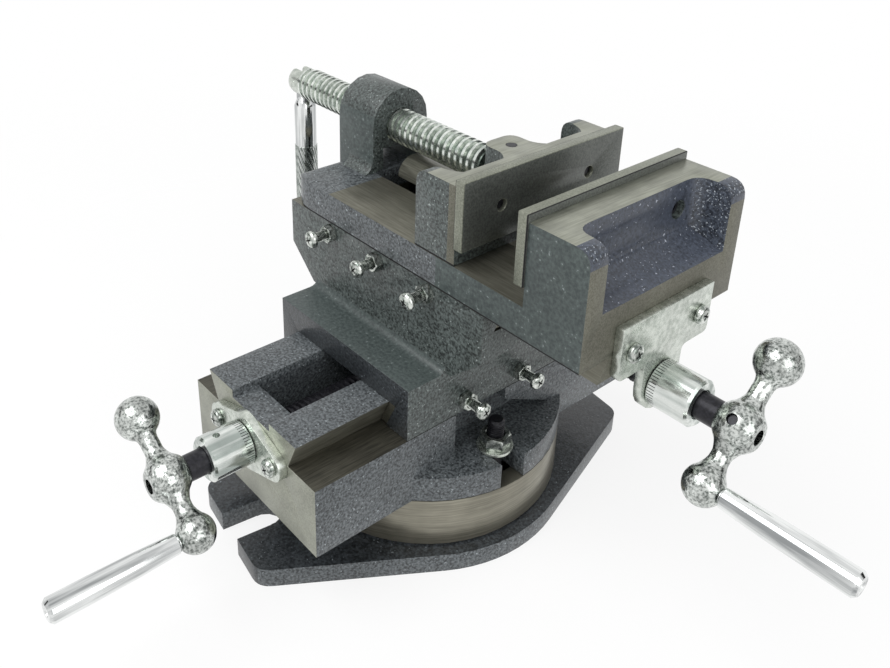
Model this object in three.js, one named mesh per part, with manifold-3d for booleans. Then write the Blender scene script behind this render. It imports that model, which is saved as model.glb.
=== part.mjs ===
// Cross slide vise for a drill press: a swivel base carries two crossed dovetail slides,
// and the upper slide is a vise with jaws 100 mm wide.
// Millimetres, +Z up. The origin is on the swivel axis, on the underside of the foot.
// +X points at the fixed jaw and the upper crank, -Y at the lower crank.
import * as THREE from 'three';
import { mergeVertices } from 'three/addons/utils/BufferGeometryUtils.js';
import Module from 'manifold-3d';

const wasm = await Module();
wasm.setup();

// Clearances
const seatGap = 0.05;
const slideGap = 0.3;
const boreGap = 0.2;
const overrun = 2;

// Roundness, in sides of a full circle
const fineSides = 48;
const roundSides = 28;
const smallSides = 14;
const filletSteps = 5;
const nutSides = 6;

// Foot and drum of the base
const footThickness = 10;
const footWaistRadius = 75.5;
const earReach = 110.5;
const earHalfWidth = 32;
const earCornerRadius = 6;
const boltSlotWidth = 18.5;
const boltSlotDepth = 27;
const drumRadius = 69.5;
const drumHeight = 27;
const drumNeckDepth = 1.2;
const drumNeckHeight = 1.8;
const spigotRadius = 18;
const spigotHeight = 8;
const footTurnDegrees = -8;

// Ring slot for the clamp bolts in the drum's top
const ringSlotRadius = 56.5;
const ringSlotWidth = 9;
const ringLipHeight = 6;
const teeWidth = 15;
const teeHeight = 6.5;

// Clamp bolts, nuts and washers
const clampBoltRadius = 4;
const clampHeadWidth = 13.4;
const clampHeadHeight = 5;
const clampStudStandout = 8;
const clampBoltOffset = -5;
const clampNutFlats = 13;
const clampNutHeight = 6.5;
const clampWasherRadius = 8.8;
const clampWasherThickness = 1.6;

// Lower slide
const lowerSlideWidth = 97.5;
const lowerSlideLength = 206;
const lowerSlideHeight = 36.2;
const flangeThickness = 13.2;
const lowerRailHeight = 13.8;
const lowerRailTopWidth = 70.8;
const lowerRailRootWidth = 58;
const railGrooveWidth = 30;
const railGrooveDepth = 4;
const pocketEndWall = 14;
const pocketDepth = 29;
const recessNear = -24;
const recessMouth = 8;
const recessFar = 41;
const recessBrow = 6.5;
const recessDepth = 12;
const clampNotchWidth = 14;

// Saddle between the slides
const saddleShift = 16.6;
const lowerBlockLength = 140.4;
const lowerBlockHeight = 26.6;
const upperBlockLength = 140;
const upperBlockStep = 0.2;
const upperBlockHeight = 40;
const shelfFillet = 5;
const upperBlockChamferRun = 18;
const upperBlockChamferRise = 16.3;
const screwChannelWidth = 18;
const screwChannelDrop = 10;

// Gibs and their screws
const gibThickness = 4.2;
const gibEndGap = 0.6;
const gibScrewSpacing = 35.5;
const gibScrewRadius = 2.5;
const gibScrewStandout = 14;
const gibNutFlats = 8;
const gibNutHeight = 4;
const gibTipGap = 1.6;

// Vise body: slab with a dovetail below and the fixed jaw above
const bodyShift = 25;
const bodyLength = 192;
const bodyWidth = 98;
const slabThickness = 14.9;
const slabRearRadius = 4;
const slabCrownRadius = 9;
const slabCornerRadius = 17;
const upperRailHeight = 10;
const upperRailRootInset = 17;
const upperRailBottomInset = 12;
const bedSlotWidth = 32;
const keeperChannelWidth = 48;
const keeperChannelRise = 4;
const keeperChannelEndWall = 16;

// Fixed jaw
const jawHeight = 36.8;
const fixedJawDepth = 30.3;
const jawCornerRadius = 7.5;
const jawRecessWall = 13.6;
const jawCheek = 10;
const jawRecessSill = 7.8;
const jawRecessFillet = 10;
const jawRecessCorner = 8;

// Jaw plates
const plateThickness = 5;
const plateOverhang = 1;
const plateHeight = 31.5;
const plateStandout = 3.4;
const plateScrewInset = 21.5;
const plateScrewDrop = 16;
const plateScrewRadius = 2.5;
const plateScrewHeadRadius = 4.2;
const plateScrewHeadHeight = 4;
const plateScrewHeadDepth = 7;
const plateScrewStop = 1.5;
const jawOpening = 29.5;

// Screw arch at the rear of the body
const archThickness = 28;
const archRadius = 17.5;
const archFoot = 8;
const viseScrewDrop = 18;
const archCrown = 19.5;
const archTunnelWidth = 22;
const archTunnelHeight = 12.2;

// Movable jaw
const movableSideDepth = 30;
const movableWebDepth = 14;
const earWidth = 7;
const earScoop = 5;
const movableTopRadius = 7;
const bossHalfWidth = 9.6;
const bossRootFlare = 4;
const bossLength = 32;
const bossCornerRadius = 6;
const tailLength = 89;
const tailRadius = 9.5;
const tongueStart = 9;
const tongueLength = 32;
const keeperThickness = 6;
const keeperScrewSpacing = 16;
const keeperScrewRadius = 3;
const keeperScrewHeadRadius = 5;
const keeperScrewHeadHeight = 3.4;
const keeperScrewGrip = 8;
const retainingPinRadius = 2.5;
const retainingPinPlace = 22.5;

// Vise screw and its hinged handle
const viseScrewRadius = 9;
const viseThreadDepth = 1.9;
const viseScrewPitch = 4;
const viseThreadTurns = 36;
const viseNeckRadius = 6;
const viseNeckLength = 16;
const viseGrooveRadius = 3.8;
const viseGrooveWidth = 5.8;
const viseHeadRadius = 8;
const viseHeadLength = 15;
const handleForkWidth = 6.6;
const headBarrelShare = 0.8;
const handlePinRadius = 2.5;
const handlePinPlace = 8;
const handleEyeRadius = 5;
const handleNeckHalf = 4;
const handleShankRadius = 6.3;
const handleKnurlRadius = 6.5;
const handleShankLength = 37.5;
const handleLength = 80;

// Feed screws, their bearing plates, dials and cranks
const feedRadius = 6;
const feedCollarRadius = 8.6;
const feedCollarLength = 4;
const lowerFeedDrop = 3.2;
const upperFeedDrop = 12.9;
const upperFeedReach = 174;
const bearingThickness = 4;
const dialRadius = 10.5;
const dialLength = 19.5;
const dialChamfer = 1;
const crankReach = 41;
const hubRadius = 10.4;
const hubHalfLength = 8.5;
const crankShaftEnd = 6.5;
const weightArm = 29.5;
const weightRadius = 9.8;
const gripArm = 26;
const gripBallRadius = 8.6;
const armRadius = 4.4;
const crankPinRadius = 2;
const gripStart = 8.2;
const gripLength = 54;
const gripRootRadius = 4.4;
const gripEndRadius = 5.3;
const gripChamfer = 1.2;
const gripStubRadius = 3;
const gripStubLength = 9;
const upperCrankDegrees = 43.6;
const lowerCrankDegrees = 148.3;

// Lower bearing plate, a lozenge with round ends
const lozengeReach = 21.5;
const lozengeEndRadius = 7;
const lozengeWaistRadius = 14;

// Upper bearing plate, a wide strap with a tongue round the shaft
const strapWidth = 59;
const strapAbove = 12.5;
const strapBelow = 11.4;
const strapScrewSpacing = 44;
const strapScrewRise = 1;
const tongueHalfWidth = 12.5;
const strapCornerRadius = 3;

// Pan head screws of the bearing plates
const panRadius = 4.2;
const panHeight = 3.2;
const panCrownShare = 0.7;
const panShankRadius = 2.5;
const panGrip = 12;

// Nuts on the feed screws
const feedNutLength = 28;
const lowerNutWidth = 26;
const feedNutCover = 4.5;

// Widths that follow the vise body's width
const upperBlockWidth = bodyWidth - 2 * upperBlockStep;
const upperRailRootWidth = bodyWidth - 2 * upperRailRootInset;
const upperRailBottomWidth = bodyWidth - 2 * upperRailBottomInset;
const plateWidth = bodyWidth + 2 * plateOverhang;
const plateScrewSpacing = bodyWidth - 2 * plateScrewInset;

// Levels worked out from the sizes above
const footTop = footThickness;
const drumTop = footTop + drumHeight;
const slideBottom = drumTop + slideGap;
const flangeTop = slideBottom + flangeThickness;
const ledgeTop = slideBottom + lowerSlideHeight;
const lowerRailTop = ledgeTop + lowerRailHeight;
const saddleBottom = ledgeTop + slideGap;
const lowerGrooveTop = lowerRailTop + slideGap;
const shelfTop = saddleBottom + lowerBlockHeight;
const saddleTop = shelfTop + upperBlockHeight;
const slabBottom = saddleTop + slideGap;
const bedTop = slabBottom + slabThickness;
const upperRailBottom = slabBottom - upperRailHeight;
const upperGrooveBottom = upperRailBottom - slideGap;
const channelBottom = upperGrooveBottom - upperFeedDrop - screwChannelDrop;
const keeperCeiling = slabBottom + keeperChannelRise;
const jawTop = bedTop + jawHeight;
const plateTop = jawTop + plateStandout;
const plateBottom = plateTop - plateHeight;
const plateScrewLevel = plateTop - plateScrewDrop;
const viseScrewLevel = plateTop - viseScrewDrop;
const archCentre = viseScrewLevel + archCrown - archRadius;
const lowerFeedLevel = ledgeTop - lowerFeedDrop;
const upperFeedLevel = upperRailBottom - upperFeedDrop;

// Places along the vise body, in the body's own frame
const bodyEnd = bodyLength / 2;
const fixedJawFace = bodyEnd - fixedJawDepth;
const fixedPlateFace = fixedJawFace - seatGap - plateThickness;
const archFront = -bodyEnd + archThickness;
const movablePlateFace = fixedPlateFace - jawOpening;
const recessWallPlace = fixedJawFace + jawRecessWall;

// Finishes seen on the object
const finishes = {
  paint: { color: 0x4b5157, roughness: 0.45, metalness: 0.1 },
  iron: { color: 0x6d6a5e, roughness: 0.5, metalness: 0.8 },
  plate: { color: 0x45484a, roughness: 0.4, metalness: 0.8 },
  zinc: { color: 0xbfc4bb, roughness: 0.3, metalness: 0.95 },
  chrome: { color: 0xd8dad8, roughness: 0.18, metalness: 1 },
  black: { color: 0x26262b, roughness: 0.5, metalness: 0.6 },
};

// Turns a closed three.js geometry into a solid with its faces pointing out.
function solidOf(geometry) {
  geometry.deleteAttribute('normal');
  geometry.deleteAttribute('uv');
  const welded = mergeVertices(geometry);
  const places = welded.getAttribute('position').array;
  const kept = [];
  let sixVolumes = 0;
  const a = new THREE.Vector3();
  const b = new THREE.Vector3();
  const c = new THREE.Vector3();
  for (let i = 0; i < welded.index.count; i += 3) {
    const [p, q, r] = [0, 1, 2].map((k) => welded.index.getX(i + k));
    if (p !== q && q !== r && r !== p) {
      kept.push([p, q, r]);
      a.fromArray(places, 3 * p);
      b.fromArray(places, 3 * q);
      c.fromArray(places, 3 * r);
      sixVolumes += a.dot(b.cross(c));
    }
  }
  const facing = sixVolumes < 0 ? kept.map(([p, q, r]) => [p, r, q]) : kept;
  return new wasm.Manifold(new wasm.Mesh({
    numProp: 3,
    vertProperties: new Float32Array(places),
    triVerts: new Uint32Array(facing.flat()),
  }));
}

// Makes a named mesh from a solid.
function meshOf(name, solid, finish) {
  const { vertProperties, triVerts } = solid.getMesh();
  const geometry = new THREE.BufferGeometry();
  geometry.setAttribute('position', new THREE.BufferAttribute(new Float32Array(vertProperties), 3));
  geometry.setIndex(new THREE.BufferAttribute(new Uint32Array(triVerts), 1));
  geometry.computeVertexNormals();
  const mesh = new THREE.Mesh(geometry, new THREE.MeshStandardMaterial(finishes[finish]));
  mesh.name = name;
  return mesh;
}

// A block between two corners.
function block(x0, x1, y0, y1, z0, z1) {
  const geometry = new THREE.BoxGeometry(x1 - x0, y1 - y0, z1 - z0);
  geometry.translate((x0 + x1) / 2, (y0 + y1) / 2, (z0 + z1) / 2);
  return solidOf(geometry);
}

function unit(axis) {
  return new THREE.Vector3(...['x', 'y', 'z'].map((name) => (name === axis ? 1 : 0)));
}

const alongX = unit('x');
const alongY = unit('y');
const alongZ = unit('z');

// The turns that lay an outline across an axis: Y and Z for X, X and Z for Y, X and Y for Z.
const layouts = {
  x: new THREE.Matrix4().makeBasis(alongY, alongZ, alongX),
  y: new THREE.Matrix4().makeBasis(alongX, alongZ, alongY.clone().negate()),
  z: new THREE.Matrix4(),
};

// An outline drawn along an axis from one place to another.
function prism(axis, shape, from, to) {
  const geometry = new THREE.ExtrudeGeometry(shape, {
    depth: to - from,
    bevelEnabled: false,
    curveSegments: filletSteps,
  });
  geometry.applyMatrix4(layouts[axis]);
  const start = axis === 'y' ? to : from;
  geometry.translate(...['x', 'y', 'z'].map((name) => (name === axis ? start : 0)));
  return solidOf(geometry);
}

// A round bar along an axis; a and b are its other two coordinates.
function bar(axis, radius, from, to, a = 0, b = 0, sides = roundSides) {
  const geometry = new THREE.CylinderGeometry(radius, radius, to - from, sides);
  const middle = (from + to) / 2;
  if (axis === 'x') {
    geometry.rotateZ(-Math.PI / 2);
    geometry.translate(middle, a, b);
  } else if (axis === 'y') {
    geometry.translate(a, middle, b);
  } else {
    geometry.rotateX(Math.PI / 2);
    geometry.translate(a, b, middle);
  }
  return solidOf(geometry);
}

// A turned piece along +Z from pairs of radius and place.
function turned(profile, sides = roundSides) {
  const geometry = new THREE.LatheGeometry(profile.map(([r, z]) => new THREE.Vector2(r, z)), sides);
  geometry.rotateX(Math.PI / 2);
  return solidOf(geometry);
}

function ball(radius, x, y, z) {
  const geometry = new THREE.SphereGeometry(radius, roundSides / 2 + 2, roundSides / 2 - 2);
  geometry.translate(x, y, z);
  return solidOf(geometry);
}

function polygon(points) {
  return new THREE.Shape(points.map(([u, v]) => new THREE.Vector2(u, v)));
}

// A six-sided nut along +Z with its bore.
function hexNut(flats, height, boreRadius) {
  const corner = flats / 2 / Math.cos(Math.PI / nutSides);
  const shape = polygon(Array.from({ length: nutSides }, (unused, k) => {
    const angle = (2 * Math.PI * k) / nutSides;
    return [corner * Math.cos(angle), corner * Math.sin(angle)];
  }));
  return prism('z', shape, 0, height)
    .subtract(bar('z', boreRadius, -overrun, height + overrun, 0, 0, smallSides));
}

// A screw along +Z: the shank points down from the seat at zero, the head stands above it.
function panScrew(grip, shankRadius, headRadius, headHeight) {
  return turned([
    [0, -grip],
    [shankRadius, -grip],
    [shankRadius, 0],
    [headRadius, 0],
    [headRadius, headHeight / 2],
    [headRadius * panCrownShare, headHeight],
    [0, headHeight],
  ], smallSides);
}

// Places a mesh so that its own +Z points along the given axis.
function aim(mesh, direction, x, y, z) {
  mesh.quaternion.setFromUnitVectors(alongZ, direction);
  mesh.position.set(x, y, z);
  return mesh;
}

// Foot outline: a waist circle with a tapered ear at each end.
function footOutline() {
  const cornerDistance = Math.hypot(earHalfWidth, earReach);
  const touch = Math.atan2(earReach, earHalfWidth) - Math.acos(footWaistRadius / cornerDistance);
  const taper = Math.tan(touch) * earCornerRadius;
  const shape = new THREE.Shape();
  shape.absarc(0, 0, footWaistRadius, -touch, touch, false);
  shape.lineTo(earHalfWidth + taper, earReach - earCornerRadius);
  shape.quadraticCurveTo(earHalfWidth, earReach, earHalfWidth - earCornerRadius, earReach);
  shape.lineTo(-earHalfWidth + earCornerRadius, earReach);
  shape.quadraticCurveTo(-earHalfWidth, earReach, -earHalfWidth - taper, earReach - earCornerRadius);
  shape.absarc(0, 0, footWaistRadius, Math.PI - touch, Math.PI + touch, false);
  shape.lineTo(-earHalfWidth - taper, -earReach + earCornerRadius);
  shape.quadraticCurveTo(-earHalfWidth, -earReach, -earHalfWidth + earCornerRadius, -earReach);
  shape.lineTo(earHalfWidth - earCornerRadius, -earReach);
  shape.quadraticCurveTo(earHalfWidth, -earReach, earHalfWidth + taper, -earReach + earCornerRadius);
  return shape;
}

// Drum with the ring slot for the clamp bolts and the spigot that centres the lower slide.
function drum() {
  const slotHalf = ringSlotWidth / 2;
  const teeHalf = teeWidth / 2;
  const lipBottom = drumTop - ringLipHeight;
  return turned([
    [0, footTop / 2],
    [drumRadius - drumNeckDepth, footTop / 2],
    [drumRadius - drumNeckDepth, footTop + drumNeckHeight],
    [drumRadius, footTop + drumNeckHeight],
    [drumRadius, drumTop],
    [ringSlotRadius + slotHalf, drumTop],
    [ringSlotRadius + slotHalf, lipBottom],
    [ringSlotRadius + teeHalf, lipBottom],
    [ringSlotRadius + teeHalf, lipBottom - teeHeight],
    [ringSlotRadius - teeHalf, lipBottom - teeHeight],
    [ringSlotRadius - teeHalf, lipBottom],
    [ringSlotRadius - slotHalf, lipBottom],
    [ringSlotRadius - slotHalf, drumTop],
    [spigotRadius, drumTop],
    [spigotRadius, drumTop + spigotHeight],
    [0, drumTop + spigotHeight],
  ], fineSides);
}

function baseCasting() {
  let casting = prism('z', footOutline(), 0, footTop).add(drum());
  const half = boltSlotWidth / 2;
  const slotEnd = earReach - boltSlotDepth + half;
  for (const side of [-1, 1]) {
    const [near, far] = [side * slotEnd, side * (earReach + overrun)].sort((p, q) => p - q);
    casting = casting
      .subtract(block(-half, half, near, far, -overrun, footTop + overrun))
      .subtract(bar('z', half, -overrun, footTop + overrun, 0, side * slotEnd, smallSides));
  }
  return casting;
}

// Outline of a dovetail across its run, centred on zero.
function dovetail(rootWidth, wideWidth, rootLevel, wideLevel) {
  return polygon([
    [-rootWidth / 2, rootLevel],
    [rootWidth / 2, rootLevel],
    [wideWidth / 2, wideLevel],
    [-wideWidth / 2, wideLevel],
  ]);
}

// Where the clamp bolt on the +X side stands.
const clampBoltPlace = Math.sqrt(ringSlotRadius ** 2 - clampBoltOffset ** 2);

// Access recess and open notch for one clamp bolt, on the +X side.
function clampAccess() {
  const halfWidth = lowerSlideWidth / 2;
  const outside = drumRadius + overrun;
  const half = clampNotchWidth / 2;
  const below = slideBottom - overrun;
  const recess = polygon([
    [recessNear, flangeTop],
    [recessFar, flangeTop],
    [recessMouth, ledgeTop - recessBrow],
    [recessMouth, ledgeTop + overrun],
    [recessNear, ledgeTop + overrun],
  ]);
  return prism('x', recess, halfWidth - recessDepth, outside)
    .add(block(clampBoltPlace, outside, clampBoltOffset - half, clampBoltOffset + half, below, flangeTop + overrun))
    .add(bar('z', half, below, flangeTop + overrun, clampBoltPlace, clampBoltOffset, smallSides));
}

function lowerSlideCasting() {
  const halfWidth = lowerSlideWidth / 2;
  const end = lowerSlideLength / 2;
  const pocketEnd = end - pocketEndWall;
  const grooveHalf = railGrooveWidth / 2;
  const rail = dovetail(lowerRailRootWidth, lowerRailTopWidth, ledgeTop, lowerRailTop);
  let casting = block(-halfWidth, halfWidth, -end, end, slideBottom, ledgeTop)
    .add(bar('z', drumRadius, slideBottom, flangeTop, 0, 0, fineSides))
    .add(prism('y', rail, -end, end));
  casting = casting
    .subtract(block(-grooveHalf, grooveHalf, -end - overrun, end + overrun,
      lowerRailTop - railGrooveDepth, lowerRailTop + overrun))
    .subtract(block(-grooveHalf, grooveHalf, -pocketEnd, pocketEnd,
      lowerRailTop - pocketDepth, lowerRailTop + overrun))
    .subtract(bar('y', feedRadius + boreGap, -end - overrun, end + overrun, 0, lowerFeedLevel))
    .subtract(bar('z', spigotRadius + boreGap, slideBottom - overrun,
      drumTop + spigotHeight + slideGap, 0, 0, fineSides));
  for (const side of [-1, 1]) {
    casting = casting
      .subtract(clampAccess().rotate([0, 0, side > 0 ? 0 : 180]))
      .subtract(bar('y', panShankRadius + boreGap, -end - overrun, -end + panGrip,
        side * lozengeReach, lowerFeedLevel, smallSides));
  }
  return casting;
}

// T-headed clamp bolt, standing on +Z with its head's underside at zero.
function clampBolt(length) {
  const half = clampHeadWidth / 2;
  return block(-half, half, -half, half, 0, clampHeadHeight)
    .add(bar('z', clampBoltRadius, clampHeadHeight / 2, length, 0, 0, smallSides));
}

function addClamps(group) {
  const headBottom = drumTop - ringLipHeight - slideGap - clampHeadHeight;
  const washerBottom = flangeTop + seatGap;
  const nutBottom = washerBottom + clampWasherThickness + seatGap;
  const length = nutBottom + clampNutHeight + clampStudStandout - headBottom;
  const washer = bar('z', clampWasherRadius, 0, clampWasherThickness, 0, 0, roundSides)
    .subtract(bar('z', clampBoltRadius + boreGap, -overrun, clampWasherThickness + overrun, 0, 0, smallSides));
  for (const [side, label] of [[1, 'right'], [-1, 'left']]) {
    const x = side * clampBoltPlace;
    const y = side * clampBoltOffset;
    const bolt = meshOf(`clamp_bolt_${label}`, clampBolt(length), 'black');
    bolt.position.set(x, y, headBottom);
    bolt.rotation.z = Math.atan2(clampBoltOffset, clampBoltPlace);
    const ring = meshOf(`clamp_washer_${label}`, washer, 'zinc');
    ring.position.set(x, y, washerBottom);
    const nut = meshOf(`clamp_nut_${label}`,
      hexNut(clampNutFlats, clampNutHeight, clampBoltRadius + boreGap), 'zinc');
    nut.position.set(x, y, nutBottom);
    group.add(bolt, ring, nut);
  }
}

// Lozenge with round ends, drawn round zero.
function lozenge() {
  const lean = Math.acos((lozengeWaistRadius - lozengeEndRadius) / lozengeReach);
  const shape = new THREE.Shape();
  shape.absarc(lozengeReach, 0, lozengeEndRadius, -lean, lean, false);
  shape.absarc(0, 0, lozengeWaistRadius, lean, Math.PI - lean, false);
  shape.absarc(-lozengeReach, 0, lozengeEndRadius, Math.PI - lean, Math.PI + lean, false);
  shape.absarc(0, 0, lozengeWaistRadius, Math.PI + lean, 2 * Math.PI - lean, false);
  return shape;
}

// Bearing plate of the lower slide, lying on its -Y end.
function lowerBearingPlate() {
  const inner = -lowerSlideLength / 2 - seatGap;
  const outer = inner - bearingThickness;
  let plate = prism('y', lozenge(), outer, inner)
    .subtract(bar('y', feedRadius + boreGap, outer - overrun, inner + overrun));
  for (const side of [-1, 1]) {
    plate = plate.subtract(bar('y', panShankRadius + boreGap, outer - overrun, inner + overrun,
      side * lozengeReach, 0, smallSides));
  }
  return plate.translate([0, 0, lowerFeedLevel]);
}

// Strap with a tongue, drawn round the shaft's centre.
function strapOutline(shaftDepth) {
  const half = strapWidth / 2;
  const top = shaftDepth + strapAbove;
  const bottom = shaftDepth - strapBelow;
  const corner = strapCornerRadius;
  const shape = new THREE.Shape();
  shape.moveTo(-half, top);
  shape.lineTo(-half, bottom + corner);
  shape.quadraticCurveTo(-half, bottom, -half + corner, bottom);
  shape.lineTo(-tongueHalfWidth - corner, bottom);
  shape.quadraticCurveTo(-tongueHalfWidth, bottom, -tongueHalfWidth, bottom - corner);
  shape.absarc(0, 0, tongueHalfWidth, Math.PI, 2 * Math.PI, false);
  shape.lineTo(tongueHalfWidth, bottom - corner);
  shape.quadraticCurveTo(tongueHalfWidth, bottom, tongueHalfWidth + corner, bottom);
  shape.lineTo(half - corner, bottom);
  shape.quadraticCurveTo(half, bottom, half, bottom + corner);
  shape.lineTo(half, top);
  return shape;
}

// Level of the two screws that hold the upper bearing plate.
const strapScrewLevel = slabBottom + strapScrewRise;

// Bearing plate of the vise body, lying on its +X end.
function upperBearingPlate() {
  const inner = bodyEnd + seatGap;
  const outer = inner + bearingThickness;
  let plate = prism('x', strapOutline(strapScrewLevel - upperFeedLevel), inner, outer)
    .subtract(bar('x', feedRadius + boreGap, inner - overrun, outer + overrun));
  for (const side of [-1, 1]) {
    plate = plate.subtract(bar('x', panShankRadius + boreGap, inner - overrun, outer + overrun,
      side * strapScrewSpacing / 2, strapScrewLevel - upperFeedLevel, smallSides));
  }
  return plate.translate([0, 0, upperFeedLevel]);
}

// Outline of the saddle's upper block, seen along Y.
function upperBlockOutline() {
  const half = upperBlockLength / 2;
  return polygon([
    [-half + upperBlockChamferRun, shelfTop],
    [half - upperBlockChamferRun, shelfTop],
    [half, shelfTop + upperBlockChamferRise],
    [half, saddleTop],
    [-half, saddleTop],
    [-half, shelfTop + upperBlockChamferRise],
  ]);
}

// Hollow fillet between the saddle's shelf and the upper block, on the +Y side.
function shelfFilletOutline() {
  const wall = upperBlockWidth / 2;
  const shape = new THREE.Shape();
  shape.moveTo(wall - overrun, shelfTop - overrun);
  shape.lineTo(wall + shelfFillet, shelfTop - overrun);
  shape.lineTo(wall + shelfFillet, shelfTop);
  shape.quadraticCurveTo(wall, shelfTop, wall, shelfTop + shelfFillet);
  shape.lineTo(wall - overrun, shelfTop + shelfFillet);
  return shape;
}

// A dovetail groove with room for a gib on one side; side is -1 or 1.
function dovetailGroove(rootWidth, wideWidth, rootLevel, wideLevel, mouthLevel, side) {
  const slope = (wideWidth - rootWidth) / 2 / (wideLevel - rootLevel);
  const mouthHalf = rootWidth / 2 + slope * (mouthLevel - rootLevel);
  const floorLevel = wideLevel + Math.sign(wideLevel - rootLevel) * slideGap;
  const floorHalf = rootWidth / 2 + slope * (floorLevel - rootLevel);
  const room = gibThickness + slideGap;
  const [low, high] = side < 0 ? [room + slideGap, slideGap] : [slideGap, room + slideGap];
  return polygon([
    [-mouthHalf - low, mouthLevel],
    [mouthHalf + high, mouthLevel],
    [floorHalf + high, floorLevel],
    [-floorHalf - low, floorLevel],
  ]);
}

// Mid levels of the two dovetails, where the gib screws press.
const lowerGibLevel = (ledgeTop + lowerRailTop) / 2;
const upperGibLevel = (slabBottom + upperRailBottom) / 2;
const gibScrewPlaces = [-gibScrewSpacing, 0, gibScrewSpacing];

function saddleCasting() {
  const halfWidth = lowerSlideWidth / 2;
  const halfLength = lowerBlockLength / 2;
  const upperHalf = upperBlockWidth / 2;
  const runX = upperBlockLength / 2 + overrun;
  const runY = halfLength + overrun;
  const channelHalf = screwChannelWidth / 2;
  const lowerGroove = dovetailGroove(lowerRailRootWidth, lowerRailTopWidth, ledgeTop, lowerRailTop,
    saddleBottom - overrun, 1);
  const upperGroove = dovetailGroove(upperRailRootWidth, upperRailBottomWidth, slabBottom,
    upperRailBottom, saddleTop + overrun, -1);
  let casting = prism('y', upperBlockOutline(), -upperHalf, upperHalf)
    .add(block(-halfWidth, halfWidth, -halfLength, halfLength, saddleBottom, shelfTop))
    .add(prism('x', shelfFilletOutline(), -halfWidth, halfWidth))
    .add(prism('x', shelfFilletOutline(), -halfWidth, halfWidth).rotate([0, 0, 180]))
    .subtract(prism('y', lowerGroove, -runY, runY))
    .subtract(prism('x', upperGroove, -runX, runX))
    .subtract(block(-runX, runX, -channelHalf, channelHalf, channelBottom, upperGrooveBottom + overrun));
  for (const place of gibScrewPlaces) {
    casting = casting
      .subtract(bar('y', gibScrewRadius + boreGap, -upperHalf - overrun, -upperRailRootWidth / 2,
        place, upperGibLevel, smallSides))
      .subtract(bar('x', gibScrewRadius + boreGap, lowerRailRootWidth / 2, halfWidth + overrun,
        place, lowerGibLevel, smallSides));
  }
  return casting;
}

// A gib strip's outline beside a dovetail flank; side is -1 or 1.
function gibOutline(rootWidth, wideWidth, rootLevel, wideLevel, side) {
  const slope = (wideWidth - rootWidth) / 2 / (wideLevel - rootLevel);
  const inset = Math.sign(wideLevel - rootLevel) * gibEndGap;
  const levels = [rootLevel + inset, wideLevel - inset];
  const inner = levels.map((level) => rootWidth / 2 + slope * (level - rootLevel) + slideGap);
  return polygon([
    [side * inner[0], levels[0]],
    [side * inner[1], levels[1]],
    [side * (inner[1] + gibThickness), levels[1]],
    [side * (inner[0] + gibThickness), levels[0]],
  ]);
}

// A gib screw with its tip at zero and its head's seat one length up +Z.
function gibScrew(length) {
  return panScrew(length, gibScrewRadius, panRadius, panHeight).translate([0, 0, length]);
}

// Adds the row of gib screws and lock nuts that press one gib.
function addGibScrews(group, label, axis, side, face, flank, level) {
  const tip = flank + slideGap + gibThickness + gibTipGap;
  const length = face + gibScrewStandout - panHeight - tip;
  const direction = (axis === 'x' ? alongX : alongY).clone().multiplyScalar(side);
  const at = (distance, place) => (axis === 'x'
    ? [side * distance, place, level]
    : [place, side * distance, level]);
  gibScrewPlaces.forEach((place, index) => {
    const screw = meshOf(`${label}_gib_screw_${index + 1}`, gibScrew(length), 'zinc');
    const nut = meshOf(`${label}_gib_nut_${index + 1}`,
      hexNut(gibNutFlats, gibNutHeight, gibScrewRadius + boreGap), 'zinc');
    group.add(aim(screw, direction, ...at(tip, place)));
    group.add(aim(nut, direction, ...at(face + seatGap, place)));
  });
}

function addSaddle(group) {
  group.add(meshOf('saddle', saddleCasting(), 'paint'));
  const upperGib = gibOutline(upperRailRootWidth, upperRailBottomWidth, slabBottom, upperRailBottom, -1);
  const lowerGib = gibOutline(lowerRailRootWidth, lowerRailTopWidth, ledgeTop, lowerRailTop, 1);
  const upperRun = upperBlockLength / 2 - gibEndGap;
  const lowerRun = lowerBlockLength / 2 - gibEndGap;
  group.add(meshOf('upper_gib', prism('x', upperGib, -upperRun, upperRun), 'iron'));
  group.add(meshOf('lower_gib', prism('y', lowerGib, -lowerRun, lowerRun), 'iron'));
  const upperFlank = (upperRailRootWidth + upperRailBottomWidth) / 4;
  const lowerFlank = (lowerRailRootWidth + lowerRailTopWidth) / 4;
  addGibScrews(group, 'upper', 'y', -1, upperBlockWidth / 2, upperFlank, upperGibLevel);
  addGibScrews(group, 'lower', 'x', 1, lowerSlideWidth / 2, lowerFlank, lowerGibLevel);
  group.add(meshOf('upper_feed_nut', upperFeedNut(), 'iron'));
  group.add(meshOf('lower_feed_nut', lowerFeedNut(), 'iron'));
}

// Nut in the saddle's channel, round the upper feed screw.
function upperFeedNut() {
  const half = screwChannelWidth / 2 - seatGap;
  const reach = feedNutLength / 2;
  return block(-reach, reach, -half, half, channelBottom + seatGap, upperFeedLevel + feedRadius + feedNutCover)
    .subtract(bar('x', feedRadius + boreGap, -reach - overrun, reach + overrun, 0, upperFeedLevel));
}

// Nut hung under the saddle in the lower slide's pocket, round the lower feed screw.
function lowerFeedNut() {
  const half = lowerNutWidth / 2;
  const reach = feedNutLength / 2;
  return block(-half, half, -reach, reach, lowerFeedLevel - feedRadius - feedNutCover, lowerGrooveTop - seatGap)
    .subtract(bar('y', feedRadius + boreGap, -reach - overrun, reach + overrun, 0, lowerFeedLevel));
}

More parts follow.
